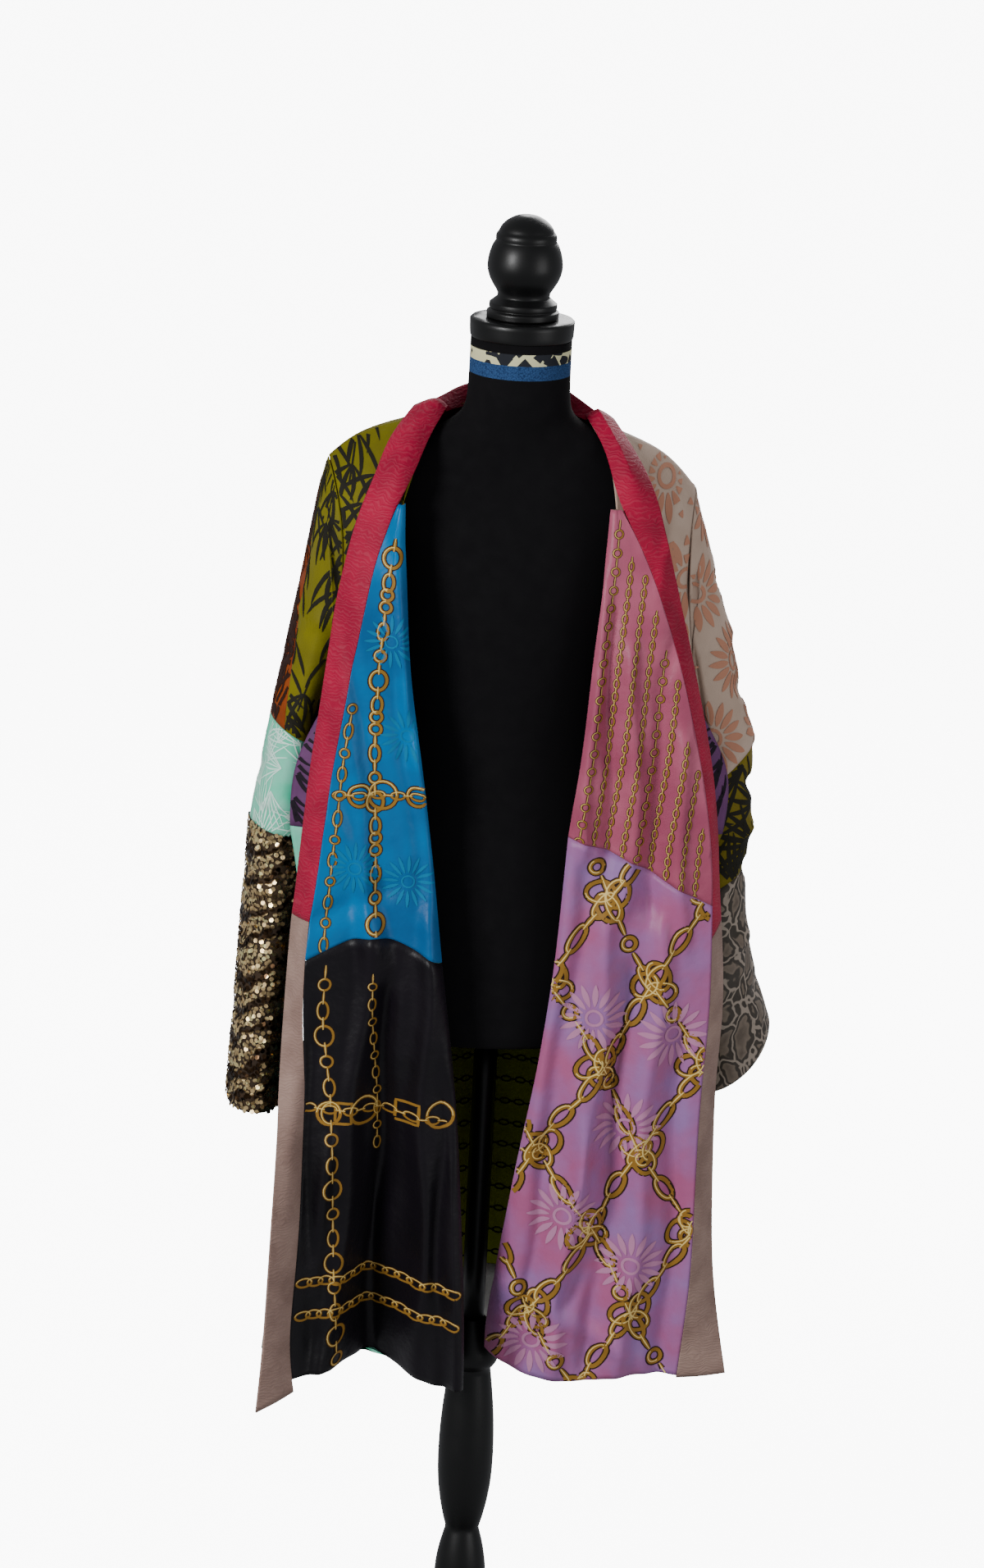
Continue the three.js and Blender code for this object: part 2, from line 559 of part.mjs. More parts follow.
// A geometry with its faces turned outwards.
function closedGeometry(positions, faces) {
  const corner = (k) => new THREE.Vector3().fromArray(positions, 3 * faces[k]);
  let volume = 0;
  for (let k = 0; k < faces.length; k += 3) volume += corner(k).dot(corner(k + 1).cross(corner(k + 2)));
  if (volume < 0) {
    for (let k = 0; k < faces.length; k += 3) [faces[k + 1], faces[k + 2]] = [faces[k + 2], faces[k + 1]];
  }
  const geometry = new THREE.BufferGeometry();
  geometry.setAttribute('position', new THREE.Float32BufferAttribute(positions, 3));
  geometry.setIndex(faces);
  return geometry;
}

const group = new THREE.Group();

function addMesh(name, geometry, colour, roughness = 0.8, metalness = 0) {
  const material = new THREE.MeshStandardMaterial({ color: colour, roughness, metalness });
  const mesh = new THREE.Mesh(geometry, material);
  mesh.name = name;
  group.add(mesh);
  return mesh;
}

// The sheet, stored as columns of points. Its normals face the garment's outside.
const sheetRows = Array.from({ length: ROW_SHOULDER + 1 }, (_, j) => sheetRow(j));
const sheet = sheetRows[0].map((_, i) => sheetRows.map((row) => row[i]));
const sheetNormals = gridNormals(sheet, sheetCell, false);

// One row across the band, from its seam over its middle to its free edge.
function bandRow(seam, crest, edge) {
  return splitLine([seam, crest, edge], [2, 2]);
}

// The band hangs a little below the lapel, in line with the seam above it.
function bandHemSeam(half) {
  const hem = lapelControls(half, 0)[0];
  const above = lapelControls(half, 1)[0];
  const wanted = LEVELS[0] + half.hemDrop.seam;
  return above.clone().lerp(hem, (above.z - wanted) / (above.z - hem.z));
}

// A row of the band that stands up at the neckline, just off the shell. Its seam edge is shifted along
// the sheet, towards a near grid point or, when the shift is negative, past the neckline.
function collarRow(side, c, [column, row], [nearColumn, nearRow], shift) {
  const seam = sheet[column][row].clone();
  const near = sheet[nearColumn][nearRow].clone().sub(seam).normalize();
  seam.addScaledVector(near, shift).addScaledVector(sheetNormals[column][row], SHELL_THICK + COLLAR_LIFT);
  return bandRow(seam, at(side, c.crestOut, c.crestY, c.crestZ), at(side, c.edgeOut, c.edgeY, c.edgeZ));
}

function frontBandRows(half) {
  const { side, edge, hemDrop, collar, bandTop } = half;
  const rows = LEVELS.slice(0, ROW_LAPEL_TOP + 1).map((z, row) => {
    const seam = row === 0 ? bandHemSeam(half) : lapelControls(half, row)[0];
    const edgeZ = row === 0 ? z + hemDrop.edge : z;
    const free = row === ROW_LAPEL_TOP ? at(side, bandTop.out, bandTop.y, bandTop.z)
      : at(side, valueAt(edge, 'edgeOut', edgeZ), valueAt(edge, 'edgeY', edgeZ), edgeZ);
    const crest = seam.clone().lerp(free, 0.5).add(new THREE.Vector3(0, -BAND_CREST, 0));
    return bandRow(seam, crest, free);
  });
  const neck = side < 0 ? COL_NECK : COL_LAST - COL_NECK;
  collar.forEach((c, k) => {
    const row = ROW_LAPEL_TOP + 1 + k;
    rows.push(collarRow(side, c, [neck, row], [neck - side, row], SHOULDER_SHIFT));
  });
  return rows;
}

// The whole band, from the right hem round the nape to the left hem.
const rightBand = frontBandRows(RIGHT);
const leftBand = frontBandRows(LEFT);
function napeRows(side) {
  return NAPE_COLLAR.map((c, k) => {
    const near = COL_BACK_NECK + 1 + k;
    const column = side < 0 ? near : COL_LAST - near;
    return collarRow(side, c, [column, ROW_SHOULDER], [column, ROW_SHOULDER - 1], NAPE_SHIFT);
  });
}
const bandRows = [...rightBand, ...napeRows(-1), ...napeRows(1).reverse().slice(1), ...leftBand.reverse()];
const band = bandRows[0].map((_, i) => bandRows.map((row) => row[i]));
const bandNormals = gridNormals(band, () => true, false);
const BAND_FRONT_ROWS = rightBand.length - 1;
const BAND_LAST = bandRows.length - 1;
mitreSeam(0, (j) => j);
mitreSeam(COL_LAST, (j) => BAND_LAST - j);

// Shares one direction between a lapel and its band along their seam, so that both walls end on one plane.
function mitreSeam(column, bandRowOf) {
  for (let j = 0; j <= ROW_LAPEL_TOP; j += 1) {
    const bandNormal = bandNormals[0][bandRowOf(j)];
    const shared = sheetNormals[column][j].clone().sub(bandNormal).normalize();
    sheetNormals[column][j].copy(shared);
    bandNormal.copy(shared).negate();
  }
}

function addSheetPiece(name, colour, offsets, inPiece) {
  const cells = (i, j) => sheetCell(i, j) && inPiece(i, j);
  addMesh(name, wall({ points: sheet, normals: sheetNormals, cells, ...offsets }), colour);
}

const SHELL = { outer: SHELL_THICK, inner: 0 };
const LINING = { outer: -LAYER_GAP, inner: -LAYER_GAP - LINING_THICK };

const isRightFront = (i) => i < COL_SIDE;
const isLeftFront = (i) => i >= COL_LAST - COL_SIDE;
const isBack = (i) => !isRightFront(i) && !isLeftFront(i);
const rowsBetween = (low, high) => (i, j) => j >= low && j < high;

// The lining shows on the lapels and their rolls, and inside the open fronts below the dress form's hips.
const isLined = (i, j) => {
  const near = Math.min(i, COL_LAST - 1 - i);
  return j < ROW_BAND || near <= COL_NECK;
};

function addFront(prefix, isFront, shell, lining) {
  shell.forEach(([name, colour, low, high]) => {
    const cells = (i, j) => isFront(i) && rowsBetween(low, high)(i, j);
    addSheetPiece(`${prefix}_shell_${name}`, colour, SHELL, cells);
  });
  lining.forEach(([name, colour, low, high]) => {
    addSheetPiece(`${prefix}_lining_${name}`, colour, LINING, (i, j) => (
      isFront(i) && isLined(i, j) && rowsBetween(low, high)(i, j)));
  });
}

addFront('right_front', isRightFront, [
  ['olive', 0x7d7a2c, ROW_UNDERARM, ROW_SHOULDER],
  ['purple', 0x4d2f52, ROW_PURPLE, ROW_UNDERARM],
  ['mint', 0x9fd9c4, 0, ROW_PURPLE],
], [
  ['blue', 0x1583b8, ROW_LINING_RIGHT, ROW_LAPEL_TOP],
  ['black', 0x17131c, 0, ROW_LINING_RIGHT],
]);
addFront('left_front', isLeftFront, [
  ['cream', 0xc9bdae, ROW_UNDERARM, ROW_SHOULDER],
  ['purple', 0x4d2f52, ROW_PURPLE, ROW_UNDERARM],
  ['olive', 0x7d7a2c, 0, ROW_PURPLE],
], [
  ['pink', 0xb56f82, ROW_LINING_LEFT, ROW_LAPEL_TOP],
  ['lilac', 0xa487b4, 0, ROW_LINING_LEFT],
]);
addSheetPiece('back_shell_upper', 0x8a4a22, SHELL, (i, j) => isBack(i) && j >= ROW_PURPLE);
addSheetPiece('back_shell_lower', 0x7d7a2c, SHELL, (i, j) => isBack(i) && j < ROW_PURPLE);
addSheetPiece('back_lining_olive', 0x66691f, LINING,
  (i, j) => isBack(i) && j >= ROW_BACK_HEM && j < ROW_BAND);
addSheetPiece('back_lining_hem', 0xb9b6ac, LINING, (i, j) => isBack(i) && j < ROW_BACK_HEM);

function addBandPiece(name, colour, low, high) {
  addMesh(name, wall({ points: band, normals: bandNormals, cells: rowsBetween(low, high),
    outer: BAND_THICK / 2, inner: -BAND_THICK / 2, gap: BAND_GAP }), colour);
}

addBandPiece('right_band_taupe', 0x76645c, 0, ROW_BAND);
addBandPiece('right_band_red', 0x8f1530, ROW_BAND, BAND_FRONT_ROWS);
addBandPiece('neck_band_red', 0x8f1530, BAND_FRONT_ROWS, BAND_LAST - BAND_FRONT_ROWS);
addBandPiece('left_band_red', 0x8f1530, BAND_LAST - BAND_FRONT_ROWS, BAND_LAST - ROW_BAND);
addBandPiece('left_band_taupe', 0x76645c, BAND_LAST - ROW_BAND, BAND_LAST);

// The armhole's border, from the side seam forwards over the shoulder and back down, with the way out
// of the cloth.
function armholeBorder(side) {
  const column = (i) => (side < 0 ? i : COL_LAST - i);
  const places = [];
  for (let i = COL_SIDE; i > COL_BULGE; i -= 1) places.push([i, ROW_UNDERARM, 0, 1]);
  for (let j = ROW_UNDERARM; j < ROW_SHOULDER; j += 1) places.push([COL_BULGE, j, 1, 0]);
  places.push([COL_BULGE, ROW_SHOULDER, 1, 0]);
  for (let j = ROW_SHOULDER - 1; j >= ROW_UNDERARM; j -= 1) places.push([COL_BACK_ARM, j, -1, 0]);
  for (let i = COL_BACK_ARM - 1; i > COL_SIDE; i -= 1) places.push([i, ROW_UNDERARM, 0, 1]);
  return places.map(([i, j, awayI, awayJ]) => {
    const p = sheet[column(i)][j];
    const inside = sheet[column(i - awayI)][j - awayJ];
    const step = p.clone().sub(inside).setLength(ARMHOLE_STEP);
    return p.clone().add(step);
  });
}

const ARMHOLE_STEP = 1.6;
const TOP_PLACE = COL_SIDE - COL_BULGE + ROW_SHOULDER - ROW_UNDERARM;

// Angles round the sleeve for the border's points: 0 at the side seam, half a turn at the shoulder.
function borderAngles(border) {
  const count = border.length;
  const length = (k) => border[k % count].distanceTo(border[(k + 1) % count]);
  const sections = [[0, TOP_PLACE, 0], [TOP_PLACE, count, Math.PI]];
  const angles = new Array(count);
  sections.forEach(([from, to, start]) => {
    const total = sum(Array.from({ length: to - from }, (_, k) => length(from + k)));
    let walked = 0;
    for (let k = from; k < to; k += 1) {
      angles[k] = start + Math.PI * (walked / total);
      walked += length(k);
    }
  });
  return angles;
}

function sleeveRing(side, angles, s) {
  const outer = at(side, s.outerOut, s.midY, s.outerZ);
  const inner = at(side, s.innerOut, s.midY, s.innerZ);
  const centre = outer.clone().add(inner).multiplyScalar(0.5);
  const toInner = inner.clone().sub(centre);
  return angles.map((angle) => {
    const share = (1 - Math.cos(angle)) / 2;
    const turned = angle - THREE.MathUtils.degToRad(s.turn) * share;
    const depth = Math.sin(turned) > 0 ? -s.frontDepth : s.backDepth;
    const p = centre.clone().addScaledVector(toInner, Math.cos(turned));
    p.y += depth * Math.abs(Math.sin(turned));
    p.z -= s.cuffDrop * Math.sin(turned);
    return p;
  });
}

// A sleeve's grid: columns run round it, rows from the armhole to the cuff.
function sleeveGrid(half) {
  const border = armholeBorder(half.side);
  const angles = borderAngles(border);
  const rows = [border, ...half.sleeve.map((s) => sleeveRing(half.side, angles, s))];
  return border.map((_, i) => rows.map((row) => row[i]));
}

function addSleeve(half, pieces) {
  const points = sleeveGrid(half);
  const normals = gridNormals(points, () => true, true);
  const outwards = half.side;
  pieces.forEach(({ name, colour, cells, full }) => {
    const geometry = wall({ points, normals, cells, closed: true,
      outer: outwards * SHELL_THICK / 2, inner: -outwards * SHELL_THICK / 2 });
    addMesh(name, geometry, colour, full ? 0.35 : 0.8, full ? 0.6 : 0);
  });
}

const RING_RIGHT_MINT = 5;
const RING_RIGHT_SEQUIN = 7;
const RING_LEFT_OLIVE = 5;
const RING_LEFT_LEOPARD = 7;
const inFrontHalf = (i) => i < TOP_PLACE;

addSleeve(RIGHT, [
  { name: 'right_sleeve_olive', colour: 0x7d7a2c, cells: (i, j) => inFrontHalf(i) && j < RING_RIGHT_MINT },
  {
    name: 'right_sleeve_orange',
    colour: 0x8a4a22,
    cells: (i, j) => !inFrontHalf(i) && j < RING_RIGHT_MINT,
  },
  { name: 'right_sleeve_mint', colour: 0x7fd6b4, cells: rowsBetween(RING_RIGHT_MINT, RING_RIGHT_SEQUIN) },
  {
    name: 'right_sleeve_sequin',
    colour: 0xa98448,
    cells: rowsBetween(RING_RIGHT_SEQUIN, Infinity),
    full: true,
  },
]);
addSleeve(LEFT, [
  { name: 'left_sleeve_cream', colour: 0xc9bdae, cells: rowsBetween(0, RING_LEFT_OLIVE) },
  { name: 'left_sleeve_olive', colour: 0x6f6b22, cells: rowsBetween(RING_LEFT_OLIVE, RING_LEFT_LEOPARD) },
  { name: 'left_sleeve_leopard', colour: 0x8f8274, cells: rowsBetween(RING_LEFT_LEOPARD, Infinity) },
]);

// Dress form: one smooth solid of oval sections, rounded under the hips.
function torsoGeometry() {
  const positions = [];
  const faces = [];
  const neckTop = { z: NECK_TOP - SEAT_GAP, half: NECK_RADIUS, front: NECK_RADIUS, back: NECK_RADIUS };
  const sections = [...TORSO, neckTop];
  sections.forEach((s) => {
    for (let k = 0; k < TURNED_SIDES; k += 1) {
      const angle = (2 * Math.PI * k) / TURNED_SIDES;
      const depth = Math.sin(angle) < 0 ? s.front : s.back;
      positions.push(s.half * Math.cos(angle), depth * Math.sin(angle), s.z);
    }
  });
  const bottom = positions.length / 3;
  positions.push(0, 0, TORSO_BOTTOM);
  positions.push(0, 0, NECK_TOP - SEAT_GAP);
  const rings = sections.length;
  for (let k = 0; k < TURNED_SIDES; k += 1) {
    const next = (k + 1) % TURNED_SIDES;
    faces.push(bottom, next, k);
    faces.push(bottom + 1, (rings - 1) * TURNED_SIDES + k, (rings - 1) * TURNED_SIDES + next);
    for (let j = 0; j < rings - 1; j += 1) {
      const low = j * TURNED_SIDES;
      const high = low + TURNED_SIDES;
      faces.push(low + k, low + next, high + next, low + k, high + next, high + k);
    }
  }
  return closedGeometry(positions, faces);
}

// A turned solid from a profile of radii and heights, closed on the axis at both ends.
function turned(profile, lift = 0) {
  const bottom = profile[0][1];
  const top = profile[profile.length - 1][1];
  const closedProfile = [[0, bottom], ...profile, [0, top]];
  const outline = closedProfile.map(([radius, z]) => new THREE.Vector2(radius, z + lift));
  return new THREE.LatheGeometry(outline, TURNED_SIDES).rotateX(Math.PI / 2);
}

const POLE = [[POLE_RADIUS, COLUMN_TOP + SEAT_GAP], [POLE_RADIUS, TORSO_BOTTOM - SEAT_GAP]];
addMesh('form_torso', torsoGeometry(), JERSEY_BLACK, JERSEY_ROUGHNESS);
addMesh('neck_cap', turned(CAP, NECK_TOP), PAINT_BLACK, PAINT_ROUGHNESS);
addMesh('finial', turned(FINIAL), PAINT_BLACK, PAINT_ROUGHNESS);
addMesh('pole', turned(POLE), PAINT_BLACK, PAINT_ROUGHNESS);
addMesh('turned_column', turned([...COLUMN, [COLUMN_TOP_RADIUS, COLUMN_TOP - FOOT_TOP]], FOOT_TOP),
  PAINT_BLACK, PAINT_ROUGHNESS);
addMesh('round_foot', turned(FOOT), PAINT_BLACK, PAINT_ROUGHNESS);

export default group;
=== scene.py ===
"""Looks of the patchwork kimono on its dress form. Units are metres unless a name says mm."""
import math
import random

import bmesh
import bpy
from bpy.props import FloatProperty, IntProperty, PointerProperty
from mathutils import Matrix, Vector
from mathutils.bvhtree import BVHTree
from mathutils.kdtree import KDTree


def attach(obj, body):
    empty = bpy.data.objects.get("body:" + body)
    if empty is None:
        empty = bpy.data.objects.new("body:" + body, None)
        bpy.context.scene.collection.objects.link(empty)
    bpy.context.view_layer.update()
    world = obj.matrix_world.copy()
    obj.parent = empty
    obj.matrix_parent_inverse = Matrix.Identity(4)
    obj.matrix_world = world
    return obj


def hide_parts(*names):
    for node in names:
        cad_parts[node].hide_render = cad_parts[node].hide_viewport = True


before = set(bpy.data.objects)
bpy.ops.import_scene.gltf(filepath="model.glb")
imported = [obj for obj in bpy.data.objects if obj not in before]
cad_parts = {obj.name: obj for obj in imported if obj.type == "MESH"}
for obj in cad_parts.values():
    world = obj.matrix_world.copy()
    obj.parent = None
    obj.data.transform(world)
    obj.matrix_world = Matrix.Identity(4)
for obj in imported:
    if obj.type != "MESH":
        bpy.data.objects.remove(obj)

bl_info = {
    "name": "Patchwork kimono",
    "version": (1, 0, 0),
    "blender": (4, 5, 0),
    "location": "View3D > Sidebar > Kimono",
    "description": "Builds the cloth, prints, sequins and stand of a patchwork kimono",
    "category": "Object",
}

MM = 0.001
# Rounding of the solids: points this close are one, and edges that turn by more than this stay sharp.
WELD_MM = 0.02
CLOTH_EDGE_DEGREES = 50
WOOD_EDGE_DEGREES = 38
# All creases are this much higher than their table says, and wander beside their straight line.
CREASE_GAIN = 2.5
CREASE_WANDER_MM = 5
CREASE_WAVE_MM = 47
# Armhole seams: how near the sleeve lies to the shells, and the fold inside the back: where it ends, the
# slope of its cloth, and its corners across and into the sleeve.
SEAM_REACH_MM = 4
SEAM_TOP_MM = 1335
SEAM_SLOPE = (0.94, -0.34)
SEAM_FOLD_MM = ((-7, 2.6), (7, 2.6), (7, 3.4), (-7, 3.4))
# Neck band: height of its seam in the middle and at the sides, and how far its edge is tucked in.
NAPE_SEAM_MM = (1457, 1461)
NAPE_HALF_WIDTH_MM = 78
NAPE_TUCK_MM = 6
NAPE_TUCK_REACH_MM = 14
# Rays that lay the prints on the cloth: start and length in metres, least share of a head-on meeting.
RAYS = {"front": (-0.6, 1.2, 0.12), "back": (0.6, 1.2, 0.4), "inside": (0.02, 1.2, 0.4),
        "sleeve": (0.2, 0.19, 0.4)}
SLEEVE_RADIUS_MM = 70
LONGEST_STEP = 0.014
OUTLINE_LIFT_MM = 0.4
PRINT_LIFT_MM = 0.6
LIGHT_LIFT_MM = 0.75
DAISY_PETALS = 16
SEQUIN_LIFT_MM = 1.2
# The torso's cover in mm of height, from the top: black fringe, blots, blue glitter, black jersey.
FRINGE_MM, GLITTER_MM, JERSEY_MM = 1532, 1519, 1503
PAPER_LIGHT = 9.0
STUDIO_RADIUS = 40.0
CAMERA_TARGET = (-0.008, 1.031)

# Cloth: node, slot, width and length of the flat piece in metres, subdivision steps.
CLOTH = [
    ("right_front_shell_olive", "olive_leaf_print", 0.136, 0.33, 3),
    ("right_front_shell_purple", "purple_leaf_print", 0.35, 0.14, 3),
    ("right_front_shell_mint", "mint_print", 0.465, 0.66, 3),
    ("right_front_lining_blue", "blue_lining", 0.13, 0.52, 3),
    ("right_front_lining_black", "black_lining", 0.467, 0.55, 3),
    ("left_front_shell_cream", "cream_daisy_print", 0.177, 0.33, 3),
    ("left_front_shell_purple", "purple_leaf_print", 0.395, 0.145, 3),
    ("left_front_shell_olive", "yellow_leaf_print", 0.44, 0.69, 3),
    ("left_front_lining_pink", "pink_lining", 0.13, 0.44, 3),
    ("left_front_lining_lilac", "lilac_lining", 0.412, 0.67, 3),
    ("back_shell_upper", "orange_leaf_print", 0.455, 0.46, 2),
    ("back_shell_lower", "olive_leaf_print", 0.57, 0.66, 2),
    ("back_lining_olive", "back_lining", 0.566, 0.5, 2),
    ("back_lining_hem", "hem_facing", 0.6, 0.066, 2),
    ("right_band_taupe", "taupe_brocade", 0.042, 0.565, 3),
    ("right_band_red", "red_brocade", 0.045, 0.6, 3),
    ("neck_band_red", "red_brocade", 0.046, 0.3, 3),
    ("left_band_red", "red_brocade", 0.041, 0.6, 3),
    ("left_band_taupe", "taupe_brocade", 0.042, 0.55, 3),
    ("right_sleeve_olive", "olive_leaf_print", 0.078, 0.32, 3),
    ("right_sleeve_orange", "orange_leaf_print", 0.133, 0.32, 3),
    ("right_sleeve_mint", "mint_print", 0.3, 0.12, 3),
    ("right_sleeve_sequin", "gold_sequins", 0.302, 0.34, 3),
    ("left_sleeve_cream", "cream_daisy_print", 0.246, 0.33, 3),
    ("left_sleeve_olive", "yellow_leaf_print", 0.3, 0.16, 3),
    ("left_sleeve_leopard", "animal_print", 0.337, 0.27, 3),
]
# Dress form and stand: the slot of each node.
HARD = {"form_torso": "form_cover", "neck_cap": "black_paint", "finial": "black_paint", "pole": "black_paint",
        "turned_column": "black_paint", "round_foot": "black_paint"}
HARD_STEPS = 2

# Creases in mm: x1, z1, x2, z2, half width, rise. A positive rise is a ridge, a negative one a trough.
CREASES = {
    "front": [
        (-150, 1330, -96, 1060, 13, 3), (-128, 1180, -92, 900, 10, -3), (-176, 1090, -150, 880, 10, 3),
        (-108, 1260, -120, 1120, 8, -2.5), (-188, 1010, -120, 840, 13, 3.5), (-212, 760, -190, 420, 12, -4),
        (-150, 880, -168, 350, 13, 5), (-122, 820, -128, 350, 10, -4.5), (-88, 900, -70, 350, 11, 4.5),
        (-62, 700, -44, 350, 9, -4), (-186, 640, -190, 350, 9, 3.5), (-205, 905, -150, 940, 13, -2.4),
        (88, 1290, 84, 1000, 8, 3), (104, 1250, 108, 960, 9, -3.5), (130, 1210, 136, 940, 9, 3.5),
        (158, 1150, 166, 930, 10, -3.5), (184, 1110, 200, 900, 10, 3.5), (88, 960, 66, 640, 12, -4),
        (118, 900, 108, 600, 11, 4), (176, 900, 164, 380, 13, 5), (140, 840, 126, 380, 11, -4.5),
        (100, 700, 84, 380, 11, 4.5), (62, 640, 44, 380, 10, -4), (204, 760, 212, 380, 12, -5),
        (120, 520, 60, 392, 12, -3), (96, 1010, 196, 905, 13, -2), (30, 470, 180, 372, 10, 2.5),
        (-190, 1250, -170, 1130, 9, -2.5), (196, 1330, 170, 1200, 10, -2.5), (186, 1380, 160, 1300, 9, 2.5),
    ],
    "back": [
        (-120, 1380, -60, 1100, 18, 4), (110, 1360, 40, 1060, 18, -4), (-150, 1050, -130, 480, 24, 7),
        (-60, 1000, -70, 430, 22, -7), (10, 980, 20, 400, 22, 7), (90, 1020, 84, 420, 20, -6),
        (160, 1040, 150, 440, 22, 6),
    ],
}
# Sleeve creases run round part of the sleeve: height, slope in mm per radian, centre angle and reach in
# degrees, half width, rise.
SLEEVE_CREASES = {
    -1: [
        (1285, 14, 200, 70, 9, -3), (1235, -16, 250, 60, 8, 2.6), (1180, 12, 205, 75, 9, -3.4),
        (1128, -12, 240, 60, 8, 2.6), (1050, 10, 200, 80, 8, -2.6), (1015, -9, 265, 60, 7, 2.2),
        (930, 9, 215, 70, 9, -3), (860, -10, 250, 60, 9, -2.6), (770, 9, 205, 70, 9, -2.6),
    ],
    1: [
        (1270, -14, -20, 70, 9, -3), (1215, 14, -60, 60, 9, 3), (1150, -12, -25, 75, 9, -3.6),
        (1095, 14, -55, 65, 9, 3), (1040, -12, -20, 80, 9, -4), (990, 10, -50, 60, 8, 3),
        (940, -12, -15, 70, 9, -3.4), (860, 14, -70, 60, 10, 4), (800, 10, -20, 60, 9, -3),
    ],
}
# Middle line of each sleeve in mm: height, out, back.
SLEEVE_AXES = {
    -1: [(1380, 198, 6), (1240, 216, 8), (1108, 236, 8), (988, 246, 8), (800, 254, 6), (650, 262, 5)],
    1: [(1352, 198, 6), (1220, 222, 8), (1093, 244, 10), (950, 250, 14), (798, 264, 20), (680, 277, 24)],
}
# Edges of the turned-back fronts in mm: height, band seam, rolled edge.
RIGHT_LAPEL = [(350, -210, -20), (500, -216, -27), (700, -218, -44), (800, -227, -60), (900, -216, -75),
               (1000, -207, -86), (1100, -196, -104), (1200, -178, -120), (1300, -160, -124),
               (1372, -137, -130)]
LEFT_LAPEL = [(350, 225, 5), (500, 235, 16), (700, 231, 44), (800, 235, 54), (900, 231, 62), (1000, 228, 66),
              (1100, 207, 78), (1200, 182, 84), (1300, 145, 93), (1372, 109, 98)]
# Prints: colour of the ink and the slot of its cloth.
INKS = {
    "dark_leaf": ("1c1a12", "olive_leaf_print"), "brown_leaf": ("2a140c", "orange_leaf_print"),
    "plum_leaf": ("1d141f", "purple_leaf_print"), "pale_leaf": ("d3f3e6", "mint_print"),
    "peach": ("b07c64", "cream_daisy_print"), "gold": ("8a6526", "black_lining"),
    "gold_light": ("d9bd72", "black_lining"), "chain_edge": ("2a1a10", "lilac_lining"),
    "blue_daisy": ("0d6d98", "blue_lining"), "pink_daisy": ("ae7898", "lilac_lining"),
    "green_line": ("1c2209", "back_lining"),
}
# Lamps: name, place and size in metres, power in watts.
LAMPS = (("key", (-3.4, -3.0, 2.8), 1.3, 230), ("fill", (3.6, -3.4, 1.6), 2.6, 70),
         ("rim", (1.2, 3.4, 2.8), 2.0, 110))


def srgb(hex_text):
    """Linear colour of a hex sRGB value."""
    parts = [int(hex_text[k:k + 2], 16) / 255 for k in (0, 2, 4)]
    return [v / 12.92 if v <= 0.04045 else ((v + 0.055) / 1.055) ** 2.4 for v in parts] + [1.0]


def dye(hex_text, depth=0.8, strength=1.3):
    """Linear colour of a dye, deeper and stronger, because studio light and view pale it."""
    red, green, blue, alpha = srgb(hex_text)
    grey = 0.3 * red + 0.6 * green + 0.1 * blue
    return [max(grey + (v - grey) * strength, 0.0) * depth for v in (red, green, blue)] + [alpha]


def add_node(tree, kind, inputs=None, **attributes):
    """Adds a node. An input value that is a socket is linked, any other is set."""
    node = tree.nodes.new(kind)
    for name, value in attributes.items():
        setattr(node, name, value)
    for name, value in (inputs or {}).items():
        socket = node.inputs[name]
        if isinstance(value, bpy.types.NodeSocket):
            tree.links.new(value, socket)
        else:
            socket.default_value = value
    return node


def new_object(name, data):
    """An object in the scene."""
    made = bpy.data.objects.new(name, data)
    bpy.context.scene.collection.objects.link(made)
    return made


def mesh_of(form, name):
    """A mesh from a bmesh, which is freed."""
    mesh = bpy.data.meshes.new(name)
    form.to_mesh(mesh)
    form.free()
    return mesh


def applied(thing):
    """The mesh that an object's modifiers make. The object is removed."""
    graph = bpy.context.evaluated_depsgraph_get()
    graph.update()
    result = bpy.data.meshes.new_from_object(thing.evaluated_get(graph))
    bpy.data.objects.remove(thing)
    return result


def sleeve_axis(side, z):
    """Point in metres on the middle line of a sleeve."""
    rows = SLEEVE_AXES[side]
    z_mm = z / MM
    for (z1, o1, y1), (z2, o2, y2) in zip(rows, rows[1:]):
        if z_mm >= z2 or (z2, o2, y2) == rows[-1]:
            t = (z1 - z_mm) / (z1 - z2)
            return Vector((side * (o1 + (o2 - o1) * t) * MM, (y1 + (y2 - y1) * t) * MM, z))
    raise ValueError("sleeve axis table is empty")


def crease_shift(point, where):
    """How far the listed creases move a point."""
    shift = Vector((0, 0, 0))
    x, z = point.x / MM, point.z / MM
    if where in (-1, 1):
        axis = sleeve_axis(where, point.z)
        out = Vector((point.x - axis.x, point.y - axis.y, 0))
        angle = math.degrees(math.atan2(out.y, out.x))
        for height, slope, centre, reach, half, rise in SLEEVE_CREASES[where]:
            turn = (angle - centre + 180) % 360 - 180
            if abs(turn) < reach:
                rise *= CREASE_GAIN
                away = z - height - slope * math.radians(turn)
                fade = math.cos(turn / reach * math.pi / 2) ** 2
                shift += out.normalized() * (rise * fade * math.exp(-(away / half) ** 2) * MM)
        return shift
    direction = Vector((0, -1, 0)) if where == "front" else Vector((0, 1, 0))
    for x1, z1, x2, z2, half, rise in CREASES[where]:
        dx, dz = x2 - x1, z2 - z1
        length = math.hypot(dx, dz)
        along = ((x - x1) * dx + (z - z1) * dz) / length
        side = ((x - x1) * dz - (z - z1) * dx) / length
        side += CREASE_WANDER_MM * math.sin(along / CREASE_WAVE_MM + x1)
        over = max(-along, along - length, 0)
        fade = math.exp(-(over / (2.5 * half)) ** 2)
        shift += direction * (CREASE_GAIN * rise * fade * math.exp(-(side / half) ** 2) * MM)
    return shift


